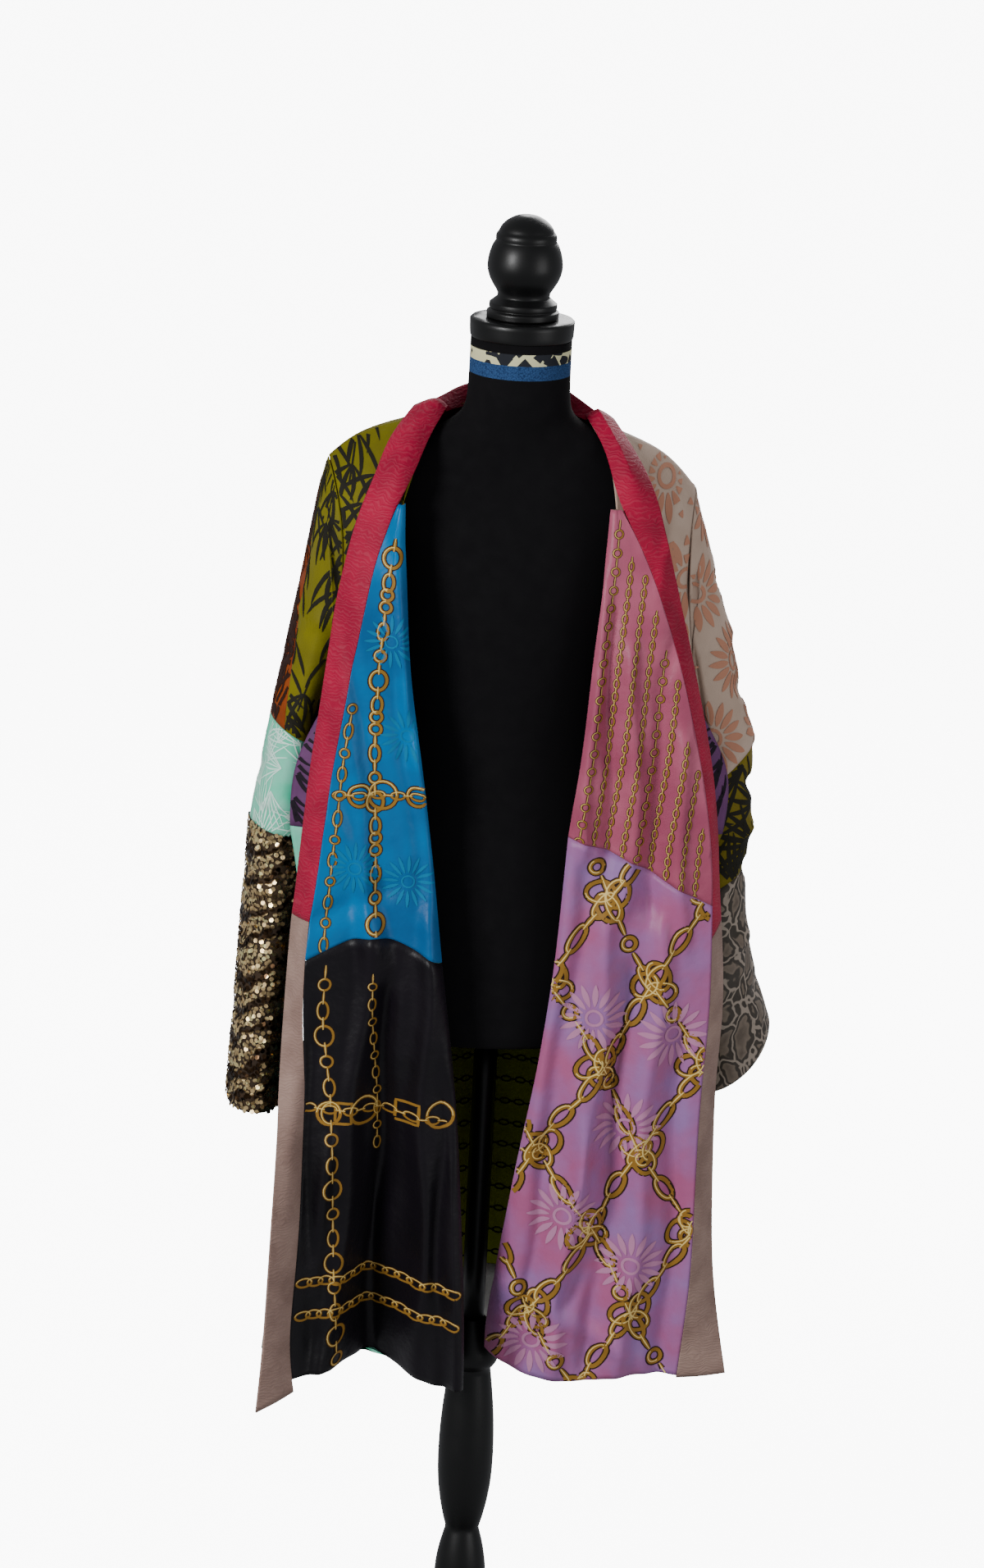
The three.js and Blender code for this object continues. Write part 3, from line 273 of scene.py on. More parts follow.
def nape_tuck(point):
    """How far the neck band's seam edge is tucked down inside the shell, so that no light shows through."""
    middle, end = NAPE_SEAM_MM
    seam = middle + (end - middle) * min(abs(point.x) / (NAPE_HALF_WIDTH_MM * MM), 1)
    share = 1 - (point.z / MM - seam) / NAPE_TUCK_REACH_MM
    return NAPE_TUCK_MM * MM * min(max(share, 0), 1)


def where_is(node):
    """The crease field that a node lies in."""
    if "sleeve" in node:
        return -1 if node.startswith("right") else 1
    return "back" if node.startswith("back") else "front"


def smooth_copy(node, steps, edge_degrees):
    """The node's solid with its facets rounded. Edges that turn more than edge_degrees stay sharp."""
    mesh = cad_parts[node].data.copy()
    form = bmesh.new()
    form.from_mesh(mesh)
    bmesh.ops.remove_doubles(form, verts=form.verts, dist=WELD_MM * MM)
    bmesh.ops.join_triangles(form, faces=form.faces, angle_face_threshold=0.9, angle_shape_threshold=1.4)
    layer = form.edges.layers.float.get("crease_edge") or form.edges.layers.float.new("crease_edge")
    for edge in form.edges:
        if len(edge.link_faces) == 2 and edge.calc_face_angle(0) > math.radians(edge_degrees):
            edge[layer] = 1.0
    form.to_mesh(mesh)
    form.free()
    mesh.materials.clear()
    rough = new_object("rough", mesh)
    modifier = rough.modifiers.new("round", "SUBSURF")
    modifier.levels = steps
    modifier.render_levels = steps
    return applied(rough)


def armhole_loop(sleeves, shells):
    """Points round an armhole seam: where the sleeve's first ring lies beside the shells."""
    shell_points = [vertex.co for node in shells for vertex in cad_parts[node].data.vertices]
    tree = KDTree(len(shell_points))
    for k, point in enumerate(shell_points):
        tree.insert(point, k)
    tree.balance()
    near = [vertex.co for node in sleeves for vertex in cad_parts[node].data.vertices
            if tree.find(vertex.co)[2] < SEAM_REACH_MM * MM]
    middle = sum(near, Vector()) / len(near)
    near.sort(key=lambda point: math.atan2(point.z - middle.z, point.y - middle.y))
    loop = []
    for point in near:
        if loop and (loop[-1][-1] - point).length < 2 * SEAM_REACH_MM * MM:
            loop[-1].append(point)
        else:
            loop.append([point])
    return [sum(group, Vector()) / len(group) for group in loop], middle


def seam_allowance(name, sleeves, shells, material):
    """The folded edge inside the back of an armhole seam, which keeps light from showing through it."""
    loop, middle = armhole_loop(sleeves, shells)
    along = Vector((math.copysign(1, middle.x) * SEAM_SLOPE[0], 0, SEAM_SLOPE[1]))
    back = sorted((p for p in loop if p.y > middle.y and p.z < SEAM_TOP_MM * MM), key=lambda p: p.z)
    form = bmesh.new()
    rows = []
    for point in back:
        inward = Vector((0, middle.y - point.y, 0)).normalized()
        rows.append([form.verts.new(point + along * (across * MM) + inward * (depth * MM))
                     for across, depth in SEAM_FOLD_MM])
    for row, after in zip(rows, rows[1:]):
        for k in range(4):
            form.faces.new((row[k], row[(k + 1) % 4], after[(k + 1) % 4], after[k]))
    form.faces.new(rows[0])
    form.faces.new(rows[-1])
    bmesh.ops.recalc_face_normals(form, faces=form.faces)
    place(name, mesh_of(form, name), material)


def place(name, mesh, material, node=None):
    mesh.materials.clear()
    mesh.materials.append(material)
    mesh.name = name
    piece = new_object(name, mesh)
    for polygon in mesh.polygons:
        polygon.use_smooth = True
    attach(piece, "root")
    if node:
        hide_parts(node)
    return piece


def begin_material(name):
    """A material without nodes, its tree, and the place in the object."""
    material = bpy.data.materials.new(name)
    material.use_nodes = True
    tree = material.node_tree
    tree.nodes.clear()
    return material, tree, add_node(tree, "ShaderNodeTexCoord").outputs["Object"]


def principled(material):
    """The material's shader node."""
    return next(node for node in material.node_tree.nodes if node.type == "BSDF_PRINCIPLED")


def noise(tree, where, size_mm, detail, **inputs):
    """Noise in clouds of a size."""
    scale = 1 / (size_mm * MM)
    return add_node(tree, "ShaderNodeTexNoise", {"Vector": where, "Scale": scale, "Detail": detail, **inputs})


def mix_colours(tree, factor, low, high, **attributes):
    """A mix of two colours or sockets."""
    inputs = {"Factor": factor, 6: low, 7: high}
    return add_node(tree, "ShaderNodeMix", inputs, data_type="RGBA", **attributes).outputs[2]


def colour_ramp(tree, value, *stops):
    """Colours at stops, each a position and a hex value."""
    ramp = add_node(tree, "ShaderNodeValToRGB", {"Fac": value})
    for element, (position, hex_text) in zip(ramp.color_ramp.elements, (stops[0], stops[-1])):
        element.position = position
        element.color = srgb(hex_text)
    for position, hex_text in stops[1:-1]:
        ramp.color_ramp.elements.new(position).color = srgb(hex_text)
    return ramp.outputs[0]


def bump(tree, height, strength, distance_mm, **inputs):
    """The normal over a height."""
    inputs = {"Height": height, "Strength": strength, "Distance": distance_mm * MM, **inputs}
    return add_node(tree, "ShaderNodeBump", inputs).outputs[0]


def pushed_place(tree, place_in, where, size_mm, amount):
    """A place moved in clouds of a size, so that a pattern on it bends."""
    push = {"Vector": noise(tree, where, size_mm, 2.0).outputs[1], "Scale": amount}
    push = add_node(tree, "ShaderNodeVectorMath", push, operation="SCALE").outputs[0]
    return add_node(tree, "ShaderNodeVectorMath", {0: place_in, 1: push}, operation="ADD").outputs[0]


def cloth_material(name, hex_main, hex_shade, roughness, sheen, weave_mm, weave_height, shade_mm=60,
                   pattern=None):
    """Woven cloth: two close tones in soft clouds, a fine weave as bump, and sheen."""
    material, tree, where = begin_material(name)
    clouds = noise(tree, where, shade_mm, 3.0).outputs[0]
    clear = add_node(tree, "ShaderNodeMapRange", {"Value": clouds, "From Min": 0.35, "From Max": 0.65})
    colour = mix_colours(tree, clear.outputs[0], dye(hex_main), dye(hex_shade))
    height = None
    if pattern:
        colour, height = pattern(tree, where, colour)
    normal = bump(tree, noise(tree, where, weave_mm, 2.0).outputs[0], 0.35, weave_height)
    crumple = noise(tree, where, 26, 4.0, Roughness=0.55).outputs[0]
    normal = bump(tree, crumple, 0.6, 3.0, Normal=normal)
    if height is not None:
        normal = bump(tree, height, 0.6, 0.5, Normal=normal)
    shader = add_node(tree, "ShaderNodeBsdfPrincipled", {
        "Base Color": colour, "Roughness": roughness, "Sheen Weight": sheen, "Sheen Roughness": 0.4,
        "Specular IOR Level": 0.22, "Normal": normal})
    add_node(tree, "ShaderNodeOutputMaterial", {"Surface": shader.outputs[0]})
    return material


def brocade(tree, where, colour):
    """Moire silk: watery lines across the band, paler than the ground."""
    stretched = add_node(tree, "ShaderNodeMapping", {"Vector": where, "Scale": (1, 1, 2.4)})
    pushed = pushed_place(tree, stretched.outputs[0], where, 22, 0.05)
    lines = add_node(tree, "ShaderNodeTexWave", {
        "Vector": pushed, "Scale": 34.0, "Distortion": 7.0, "Detail": 3.0, "Detail Scale": 1.6},
        bands_direction="Z").outputs[1]
    fine = add_node(tree, "ShaderNodeMapRange", {
        "Value": lines, "From Min": 0.55, "From Max": 0.95, "To Max": 0.05})
    return mix_colours(tree, fine.outputs[0], colour, (0.5, 0.3, 0.32, 1), blend_type="SCREEN"), lines


def animal(tree, where, colour):
    """Blots with dark rims on a pale ground, as on a big cat's coat."""
    pushed = pushed_place(tree, where, where, 30, 0.04)
    flat = add_node(tree, "ShaderNodeMapping", {"Vector": pushed, "Scale": (1.2, 1.0, 0.7)})
    cells = add_node(tree, "ShaderNodeTexVoronoi", {"Vector": flat.outputs[0], "Scale": 1 / (26 * MM)},
                     feature="DISTANCE_TO_EDGE")
    coat = colour_ramp(tree, cells.outputs[0], (0.0, "93867a"), (0.035, "93867a"), (0.06, "0f0c0a"),
                       (0.17, "120e0b"), (0.21, "6f6256"), (0.42, "4d4239"))
    return mix_colours(tree, 0.12, coat, colour), None


def plain_material(name, hex_main, roughness, metallic=0.0, coat=0.0, bump_mm=0.0, gloss=0.4):
    """A plain finish with faint unevenness."""
    material, tree, where = begin_material(name)
    uneven = noise(tree, where, 18, 5.0).outputs[0]
    rough = add_node(tree, "ShaderNodeMapRange", {
        "Value": uneven, "To Min": roughness * 0.85, "To Max": roughness * 1.2})
    shader = add_node(tree, "ShaderNodeBsdfPrincipled", {
        "Base Color": srgb(hex_main), "Roughness": rough.outputs[0], "Metallic": metallic,
        "Specular IOR Level": gloss, "Coat Weight": coat, "Coat Roughness": 0.25,
        "Normal": bump(tree, uneven, 0.3, bump_mm)})
    add_node(tree, "ShaderNodeOutputMaterial", {"Surface": shader.outputs[0]})
    return material


def sequin_material():
    """Polished gold foil discs, with painted reflection: slanting uneven bands from near-black brown to pale
    gold.
    """
    material = plain_material("sequin foil", "b08a4a", 0.3, metallic=1.0)
    tree = material.node_tree
    where = add_node(tree, "ShaderNodeTexCoord").outputs["Object"]
    # Painted reflection: the foil's colour runs in slanting bands from near-black brown to pale gold, as dark
    # and bright glints.
    slant = add_node(tree, "ShaderNodeMapping", {"Vector": where, "Rotation": (0, math.radians(28), 0)})
    bands = add_node(tree, "ShaderNodeTexWave", {
        "Vector": slant.outputs[0], "Scale": 10.0, "Distortion": 6.5, "Detail": 2.0, "Detail Scale": 2.2},
        bands_direction="Z")
    foil = colour_ramp(tree, bands.outputs[1], (0.12, "3a2a1c"), (0.36, "f0cf96"))
    speck = add_node(tree, "ShaderNodeTexVoronoi", {"Vector": where, "Scale": 1 / (5 * MM)})
    level = add_node(tree, "ShaderNodeSeparateColor", {"Color": speck.outputs[1]})
    value = add_node(tree, "ShaderNodeMapRange", {"Value": level.outputs[0], "To Min": 0.45, "To Max": 1.5})
    varied = add_node(tree, "ShaderNodeHueSaturation", {"Color": foil, "Value": value.outputs[0]})
    tree.links.new(varied.outputs[0], principled(material).inputs["Base Color"])
    return material


def form_material():
    """Black jersey on the torso. The neck has a cream cover with dark blots and a blue glitter band."""
    jersey = "0b0a0c"
    material = plain_material("form cover", jersey, 0.9, bump_mm=0.3, gloss=0.12)
    tree = material.node_tree
    where = add_node(tree, "ShaderNodeTexCoord").outputs["Object"]
    height = add_node(tree, "ShaderNodeSeparateXYZ", {"Vector": where}).outputs[2]
    blots = add_node(tree, "ShaderNodeTexVoronoi", {"Vector": where, "Scale": 1 / (17 * MM)},
                     distance="MANHATTAN")
    blot = add_node(tree, "ShaderNodeMath", {0: blots.outputs[0], 1: 0.75}, operation="LESS_THAN")
    colour = mix_colours(tree, blot.outputs[0], srgb("c9c69c"), srgb("24262b"))
    glitter = add_node(tree, "ShaderNodeTexVoronoi", {"Vector": where, "Scale": 1 / (1.6 * MM)})
    blue = mix_colours(tree, glitter.outputs[0], srgb("31527f"), srgb("0f2344"))
    for edge_mm, side, layer in ((FRINGE_MM, "GREATER_THAN", srgb(jersey)), (GLITTER_MM, "LESS_THAN", blue),
                                 (JERSEY_MM, "LESS_THAN", srgb(jersey))):
        there = add_node(tree, "ShaderNodeMath", {0: height, 1: edge_mm * MM}, operation=side)
        colour = mix_colours(tree, there.outputs[0], colour, layer)
    tree.links.new(colour, principled(material).inputs["Base Color"])
    return material


def cloth_materials():
    """Each slot's cloth, from what it is really made of."""
    silk = dict(roughness=0.7, sheen=0.03, weave_mm=0.9, weave_height=0.15)
    satin = dict(roughness=0.45, sheen=0.02, weave_mm=0.7, weave_height=0.08)
    return {
        "olive_leaf_print": cloth_material("olive silk", "77722f", "686326", **silk),
        "yellow_leaf_print": cloth_material("yellow olive silk", "7d7126", "695f1f", **silk),
        "purple_leaf_print": cloth_material("purple silk", "6e4a70", "593b5b", **silk),
        "mint_print": cloth_material("mint silk", "6fd3b0", "a5e0cc", **silk),
        "blue_lining": cloth_material("blue satin", "0e74a8", "085a8a", shade_mm=90, **satin),
        "black_lining": cloth_material("black satin", "0a080c", "110d13", shade_mm=90, **satin),
        "cream_daisy_print": cloth_material("cream silk", "c9b6a8", "bba799", **silk),
        "pink_lining": cloth_material("pink satin", "b06a7c", "995568", shade_mm=70, **satin),
        "lilac_lining": cloth_material("lilac satin", "9a7aa8", "a9698a", shade_mm=75, **satin),
        "orange_leaf_print": cloth_material("orange brown silk", "8a4a26", "75391b", **silk),
        "back_lining": cloth_material("green satin", "8f9a2c", "7c8622", **satin),
        "hem_facing": cloth_material("grey white satin", "e2e2dc", "d2d2cc", **satin),
        "taupe_brocade": cloth_material("taupe brocade", "a08a81", "8a756d", 0.7, 0.03, 0.8, 0.2, 40,
                                        brocade),
        "red_brocade": cloth_material("red moire", "a41d46", "8e153c", 0.65, 0.02, 0.8, 0.2, 40, brocade),
        "gold_sequins": cloth_material("sequin net", "2e241d", "3d2f22", 0.7, 0.1, 1.2, 0.3),
        "animal_print": cloth_material("animal silk", "b5aaa0", "a39789", 0.6, 0.06, 0.9, 0.15, 60, animal),
    }


class Surface:
    """A piece of cloth seen from one side. A flat position becomes a point on it."""

    def __init__(self, node, kind, side=0):
        mesh = bpy.data.objects["cloth_" + node].data
        self.tree = BVHTree.FromPolygons([v.co for v in mesh.vertices], [p.vertices for p in mesh.polygons])
        self.kind = kind
        self.side = side

    def hit(self, u, v, lift):
        """The point at u across and v up in metres, moved off the cloth, or None beside the piece."""
        start, length, least = RAYS[self.kind]
        if self.kind == "sleeve":
            angle = u / (SLEEVE_RADIUS_MM * MM)
            out = Vector((math.cos(angle), math.sin(angle), 0))
            start = sleeve_axis(self.side, v) + out * start
            direction = -out
        else:
            start = Vector((u, start, v))
            direction = Vector((0, -1 if self.kind == "back" else 1, 0))
        point, normal, _, _ = self.tree.ray_cast(start, direction, length)
        if point is None or abs(normal.dot(direction)) < least:
            return None
        return point + (normal if normal.dot(direction) < 0 else -normal) * lift

    def strip(self, form, line, width, lift_mm=PRINT_LIFT_MM, closed=False):
        """A flat ribbon along a line on the cloth. width gives half the width at 0 to 1 along the line."""
        count = len(line)
        rows = []
        for k, (u, v) in enumerate(line):
            u1, v1 = line[(k - 1) % count] if closed or k else line[0]
            u2, v2 = line[(k + 1) % count] if closed or k < count - 1 else line[-1]
            length = math.hypot(u2 - u1, v2 - v1) or 1
            across = ((v1 - v2) / length, (u2 - u1) / length)
            half = width(k / (count - 1) if count > 1 else 0)
            points = [self.hit(u + across[0] * half * s, v + across[1] * half * s, lift_mm * MM)
                      for s in (-1, 0, 1)]
            rows.append(None if None in points else [form.verts.new(p) for p in points])
        pairs = list(zip(rows, rows[1:])) + ([(rows[-1], rows[0])] if closed else [])
        for a, b in pairs:
            if not a or not b:
                continue
            steps = [(a[s].co - b[s].co).length for s in range(3)]
            steps += [(row[s].co - row[s + 1].co).length * 2 for row in (a, b) for s in (0, 1)]
            if max(steps) < LONGEST_STEP:
                for s in (0, 1):
                    form.faces.new((a[s], b[s], b[s + 1], a[s + 1]))


def polar(u, v, angle, length):
    """The point at an angle and a length from another."""
    return u + length * math.cos(angle), v + length * math.sin(angle)


def leaf(surface, form, u, v, angle, length, half, bend=0.25):
    """A pointed leaf from its stem end."""
    shares = [k / 12 for k in range(13)]
    line = [polar(u, v, angle + bend * (t - 0.5), length * t) for t in shares]
    surface.strip(form, line, lambda t: half * math.sin(math.pi * min(t * 0.97 + 0.02, 1)) ** 0.75 + 0.1 * MM)


def daisy(surface, form, u_mm, v_mm, radius_mm, half_mm):
    """Long thin petals round an open middle."""
    u, v, radius, half = u_mm * MM, v_mm * MM, radius_mm * MM, half_mm * MM
    inner = radius * 0.34
    for k in range(DAISY_PETALS):
        angle = 2 * math.pi * k / DAISY_PETALS
        leaf(surface, form, *polar(u, v, angle, inner), angle, radius - inner, half, 0)
    ring = [polar(u, v, k / 9 * math.pi, radius * 0.22) for k in range(18)]
    surface.strip(form, ring, lambda t: half * 0.5, closed=True)


def ellipse(u, v, angle, length, across, count=20):
    """A closed oval line, its long side turned to the angle."""
    line = []
    for k in range(count):
        a = 2 * math.pi * k / count
        x, y = length / 2 * math.cos(a), across / 2 * math.sin(a)
        line.append((u + x * math.cos(angle) - y * math.sin(angle),
                     v + x * math.sin(angle) + y * math.cos(angle)))
    return line


def ring_link(surface, inks, u, v, angle, length, across, stroke):
    """One link in three inks: a dark edge, a bronze body and a pale line of light."""
    edge, body, light = inks
    line = ellipse(u, v, angle, length, across)
    surface.strip(edge, line, lambda t: stroke * 0.85, OUTLINE_LIFT_MM, closed=True)
    surface.strip(body, line, lambda t: stroke * 0.52, PRINT_LIFT_MM, closed=True)
    lit = ellipse(u - stroke * 0.12, v + stroke * 0.12, angle, length, across)
    surface.strip(light, lit[: len(lit) // 2 + 1], lambda t: stroke * 0.16, LIGHT_LIFT_MM)


def bar_link(surface, inks, u, v, angle, half, stroke):
    """A link seen edge-on."""
    steps = (-1, -0.5, 0, 0.5, 1)
    line = [polar(u, v, angle, half * s) for s in steps]
    lifts = (OUTLINE_LIFT_MM, PRINT_LIFT_MM, LIGHT_LIFT_MM)
    for form, share, lift in zip(inks, (0.95, 0.6, 0.18), lifts):
        surface.strip(form, line, lambda t, w=stroke * share: w * (0.55 + 0.45 * math.sin(math.pi * t)), lift)


def polyline(points, step):
    """Points and angles along a bent line, one each step."""
    result = []
    left = 0.0
    for (u1, v1), (u2, v2) in zip(points, points[1:]):
        length = math.hypot(u2 - u1, v2 - v1)
        angle = math.atan2(v2 - v1, u2 - u1)
        at = left
        while at < length:
            result.append((u1 + (u2 - u1) * at / length, v1 + (v2 - v1) * at / length, angle))
            at += step
        left = at - length
    return result


def chain(surface, inks, points_mm, link_mm, across_mm, stroke_mm, shapes="ob"):
    """Links along a line. shapes repeats along it: o oval, r round ring, w wide ring, b bar seen edge-on."""
    points = [(x * MM, z * MM) for x, z in points_mm]
    link, across, stroke = link_mm * MM, across_mm * MM, stroke_mm * MM
    sizes = {"o": (link, across, stroke), "r": (across * 1.1, across * 1.1, stroke),
             "w": (link * 1.15, across * 1.7, stroke * 1.1)}
    for k, (u, v, angle) in enumerate(polyline(points, link * 0.72)):
        shape = shapes[k % len(shapes)]
        if shape == "b":
            bar_link(surface, inks, u, v, angle, link * 0.36, stroke)
        else:
            ring_link(surface, inks, u, v, angle, *sizes[shape])


def rings(surface, inks, places, z):
    """Single round links in a row: x and size of each in mm."""
    for x, size in places:
        ring_link(surface, inks, x * MM, z * MM, 0, size * MM, size * MM, 3.2 * MM)


def across_lapel(rows, share, z):
    """X in mm at a share of the way from the band seam to the rolled edge."""
    for (z1, s1, r1), (z2, s2, r2) in zip(rows, rows[1:]):
        if z <= z2:
            t = (z - z1) / (z2 - z1)
            return s1 + (s2 - s1) * t + share * (r1 + (r2 - r1) * t - s1 - (s2 - s1) * t)
    return rows[-1][1]


def lapel_line(rows, share_low, share_high, low, high, step=20):
    """A line up a lapel that keeps its share of the width."""
    count = max(int((high - low) / step), 2)
    heights = [low + (high - low) * k / count for k in range(count + 1)]
    return [(across_lapel(rows, share_low + (share_high - share_low) * k / count, z), z)
            for k, z in enumerate(heights)]


def clusters(surface, form, rng, area_mm, step_mm, count, length_mm, half_mm, spread=1.3):
    """Sprays of leaves in a jittered grid. The cloth's own edge clips them."""
    u0, v0, u1, v1 = area_mm
    v = v0
    while v < v1:
        u = u0 + rng.uniform(0, step_mm)
        while u < u1:
            middle = rng.uniform(0, 2 * math.pi)
            for k in range(count):
                angle = middle + spread * (k - (count - 1) / 2) * 2 / count
                length = rng.uniform(0.75, 1.1) * length_mm * MM
                leaf(surface, form, u * MM, v * MM, angle, length, half_mm * MM, rng.uniform(-0.3, 0.3))
            u += step_mm * rng.uniform(0.85, 1.15)
        v += step_mm * 0.8


def bamboo(surface, form, rng, u, v, angle, length):
    """A thin cane with a few narrow leaves at each node. Sizes in mm."""
    line = [polar(u, v, angle, length * k / 12) for k in range(13)]
    surface.strip(form, [(x * MM, y * MM) for x, y in line], lambda t: 0.9 * MM)
    at = 14
    while at < length:
        x, y = polar(u, v, angle, at)
        for side in (-1, 1):
            for spread in (0.3, 0.75):
                turn = angle + side * (spread + rng.uniform(-0.12, 0.12))
                leaf(surface, form, x * MM, y * MM, turn, rng.uniform(34, 52) * MM, 2.1 * MM, -0.3 * side)
        at += rng.uniform(30, 40)


def grove(surface, form, rng, area_mm, step_mm, lean):
    """Canes over an area, roughly downwards. The cloth's own edge clips them."""
    u0, v0, u1, v1 = area_mm
    row = 0
    for v in range(int(v1), int(v0), -int(step_mm * 1.5)):
        u = u0 + step_mm * 0.5 * (row % 2)
        while u < u1:
            bamboo(surface, form, rng, u + rng.uniform(-9, 9), v + rng.uniform(-16, 16),
                   lean + rng.uniform(-0.4, 0.4), 96)
            u += step_mm
        row += 1


def print_leaves(forms, rng):
    """Bamboo on olive, palm on orange brown and yellow, long curved leaves on purple, white ferns on mint."""
    dark, brown, down = forms["dark_leaf"], forms["brown_leaf"], -math.pi / 2
    grove(Surface("right_front_shell_olive", "front"), dark, rng, (-220, 1100, -90, 1470), 52, down - 0.2)
    grove(Surface("back_shell_lower", "back"), dark, rng, (-230, 350, 240, 1010), 74, down)
    clusters(Surface("back_shell_upper", "back"), brown, rng, (-210, 1000, 210, 1460), 60, 6, 52, 3.0)
    orange = Surface("right_sleeve_orange", "sleeve", -1)
    clusters(orange, brown, rng, (0, 1090, 440, 1430), 52, 7, 76, 3.0, 0.9)
    clusters(Surface("left_sleeve_olive", "sleeve", 1), dark, rng, (0, 930, 440, 1110), 58, 7, 76, 3.0, 0.9)
    grove(Surface("right_sleeve_olive", "sleeve", -1), dark, rng, (150, 1100, 440, 1430), 46, down + 0.2)
    mint = Surface("right_sleeve_mint", "sleeve", -1)
    clusters(mint, forms["pale_leaf"], rng, (0, 975, 440, 1110), 34, 7, 50, 0.7, 0.8)
    for name, sign in (("right", -1), ("left", 1)):
        purple = Surface(name + "_front_shell_purple", "front")
        for k in range(12):
            leaf(purple, forms["plum_leaf"], sign * (206 + 3 * (k % 4)) * MM, (985 + 12 * k) * MM,
                 math.pi / 2 - 0.95 * sign, 56 * MM, 2.2 * MM, 0.8 * sign)


def print_daisies(form):
    """Daisies on the cream shoulder and sleeve."""
    shoulder = Surface("left_front_shell_cream", "front")
    for u, v, radius in ((166, 1395, 44), (188, 1290, 46), (150, 1312, 30), (190, 1200, 40)):
        daisy(shoulder, form, u, v, radius, 4.2)
    sleeve = Surface("left_sleeve_cream", "sleeve", 1)
    for row, v in enumerate(range(1105, 1400, 84)):
        for u in range(-220, 220, 98):
            daisy(sleeve, form, u + 49 * (row % 2), v, 44, 4.2)


def print_blue_lining(forms, inks):
    """A heavy chain of mixed links, a light one, a row of rings, and faint daisies."""
    blue = Surface("right_front_lining_blue", "front")
    heavy = [(across_lapel(RIGHT_LAPEL, 0.42 + 0.0002 * (1340 - z), z), z) for z in range(880, 1350, 20)]
    chain(blue, inks, heavy, 19, 11, 3.0, "obwbrbobrr")
    chain(blue, inks, lapel_line(RIGHT_LAPEL, 0.12, 0.10, 880, 1160), 17, 9, 2.0, "obrb")
    chain(blue, inks, [(-190, 1052), (-80, 1052)], 15, 8, 2.2)
    rings(blue, inks, ((-168, 24), (-142, 31), (-104, 22)), 1052)
    for u, v in ((-118, 1120), (-170, 970), (-110, 955), (-140, 1225)):
        daisy(blue, forms["blue_daisy"], u, v, 30, 1.8)


def print_black_lining(forms, inks):
    """Chains down it, a row of rings and frames, two rows above the hem."""
    black = Surface("right_front_lining_black", "front")
    chain(black, inks, lapel_line(RIGHT_LAPEL, 0.26, 0.16, 352, 850), 21, 12, 2.4, "obrbwb")
    chain(black, inks, lapel_line(RIGHT_LAPEL, 0.50, 0.50, 640, 850), 15, 8, 1.8, "obrb")
    chain(black, inks, [(-208, 690), (-129, 684), (-50, 676)], 16, 9, 2.2)
    for v, x1, x2 in ((478, -206, -30), (438, -206, -28)):
        chain(black, inks, [(x1, v + 6), ((x1 + x2) / 2, v), (x2, v - 8)], 18, 10, 2.4, "o")
    rings(black, inks, ((-186, 26), (-146, 32), (-62, 30)), 684)
    for x, half in ((-170, 9), (-98, 12)):
        corners = [(x - half, 672), (x + half, 672), (x + half, 696), (x - half, 696), (x - half, 672)]
        line = [(u * MM, v * MM) for u, v, _ in polyline(corners, 3)]
        black.strip(forms["gold"], line, lambda t: 1.6 * MM)


def print_pink_lining(inks):
    """Thin chains that run down beside the rolled edge."""
    pink = Surface("left_front_lining_pink", "front")
    edges = [(across_lapel(LEFT_LAPEL, 0, z), across_lapel(LEFT_LAPEL, 1, z), z)
             for z in range(925, 1370, 20)]
    for k in range(9):
        beside = 10 + 17 * k
        line = [(roll + beside, z) for seam, roll, z in edges if roll + beside < seam - 4]
        link, across, shapes = (14, 8, "rb") if k in (0, 4) else (10, 5, "ob")
        chain(pink, inks, line, link, across, 1.5, shapes)


def print_lilac_lining(forms, inks):
    """A wide lattice of slanting chains with a knot of rings where they cross, and daisies."""
    lilac = Surface("left_front_lining_lilac", "front")
    lean, pitch, first = 0.58, 116, -60
    for k in range(6):
        start = first + pitch * k
        for slant in (-1, 1):
            line = [(start + slant * lean * (v - 640) + 6 * math.sin(v / 37), v)
                    for v in range(340, 1000, 24)]
            chain(lilac, inks, line, 34, 14, 4.4, "obob" if slant > 0 else "obrb")
    for row in range(-4, 5):
        z = 640 + pitch / lean / 2 * row
        for k in range(-1, 6):
            x = first + pitch * k + pitch / 2 * (row % 2)
            for turn in range(3):
                a = turn * math.pi * 2 / 3 + 0.5 + 0.4 * (row % 3)
                u, v = polar(x, z, a, 11)
                ring_link(lilac, inks, u * MM, v * MM, a + 0.7, 32 * MM, 23 * MM, 4.4 * MM)
    for u, v in ((105, 800), (150, 668), (84, 560), (165, 500), (196, 780), (60, 400)):
        daisy(lilac, forms["pink_daisy"], u, v, 40, 3.2)


def print_back_lining(forms):
    """Dark rows of small links, and a gold edge above the hem facing."""
    inside = Surface("back_lining_olive", "inside")
    for v in range(425, 900, 27):
        chain(inside, (forms["green_line"],) * 3, [(-150, v), (150, v)], 11, 6, 1.1)
    inside.strip(forms["gold"], [(x * MM, 408 * MM) for x in range(-150, 151, 5)], lambda t: 1.4 * MM)


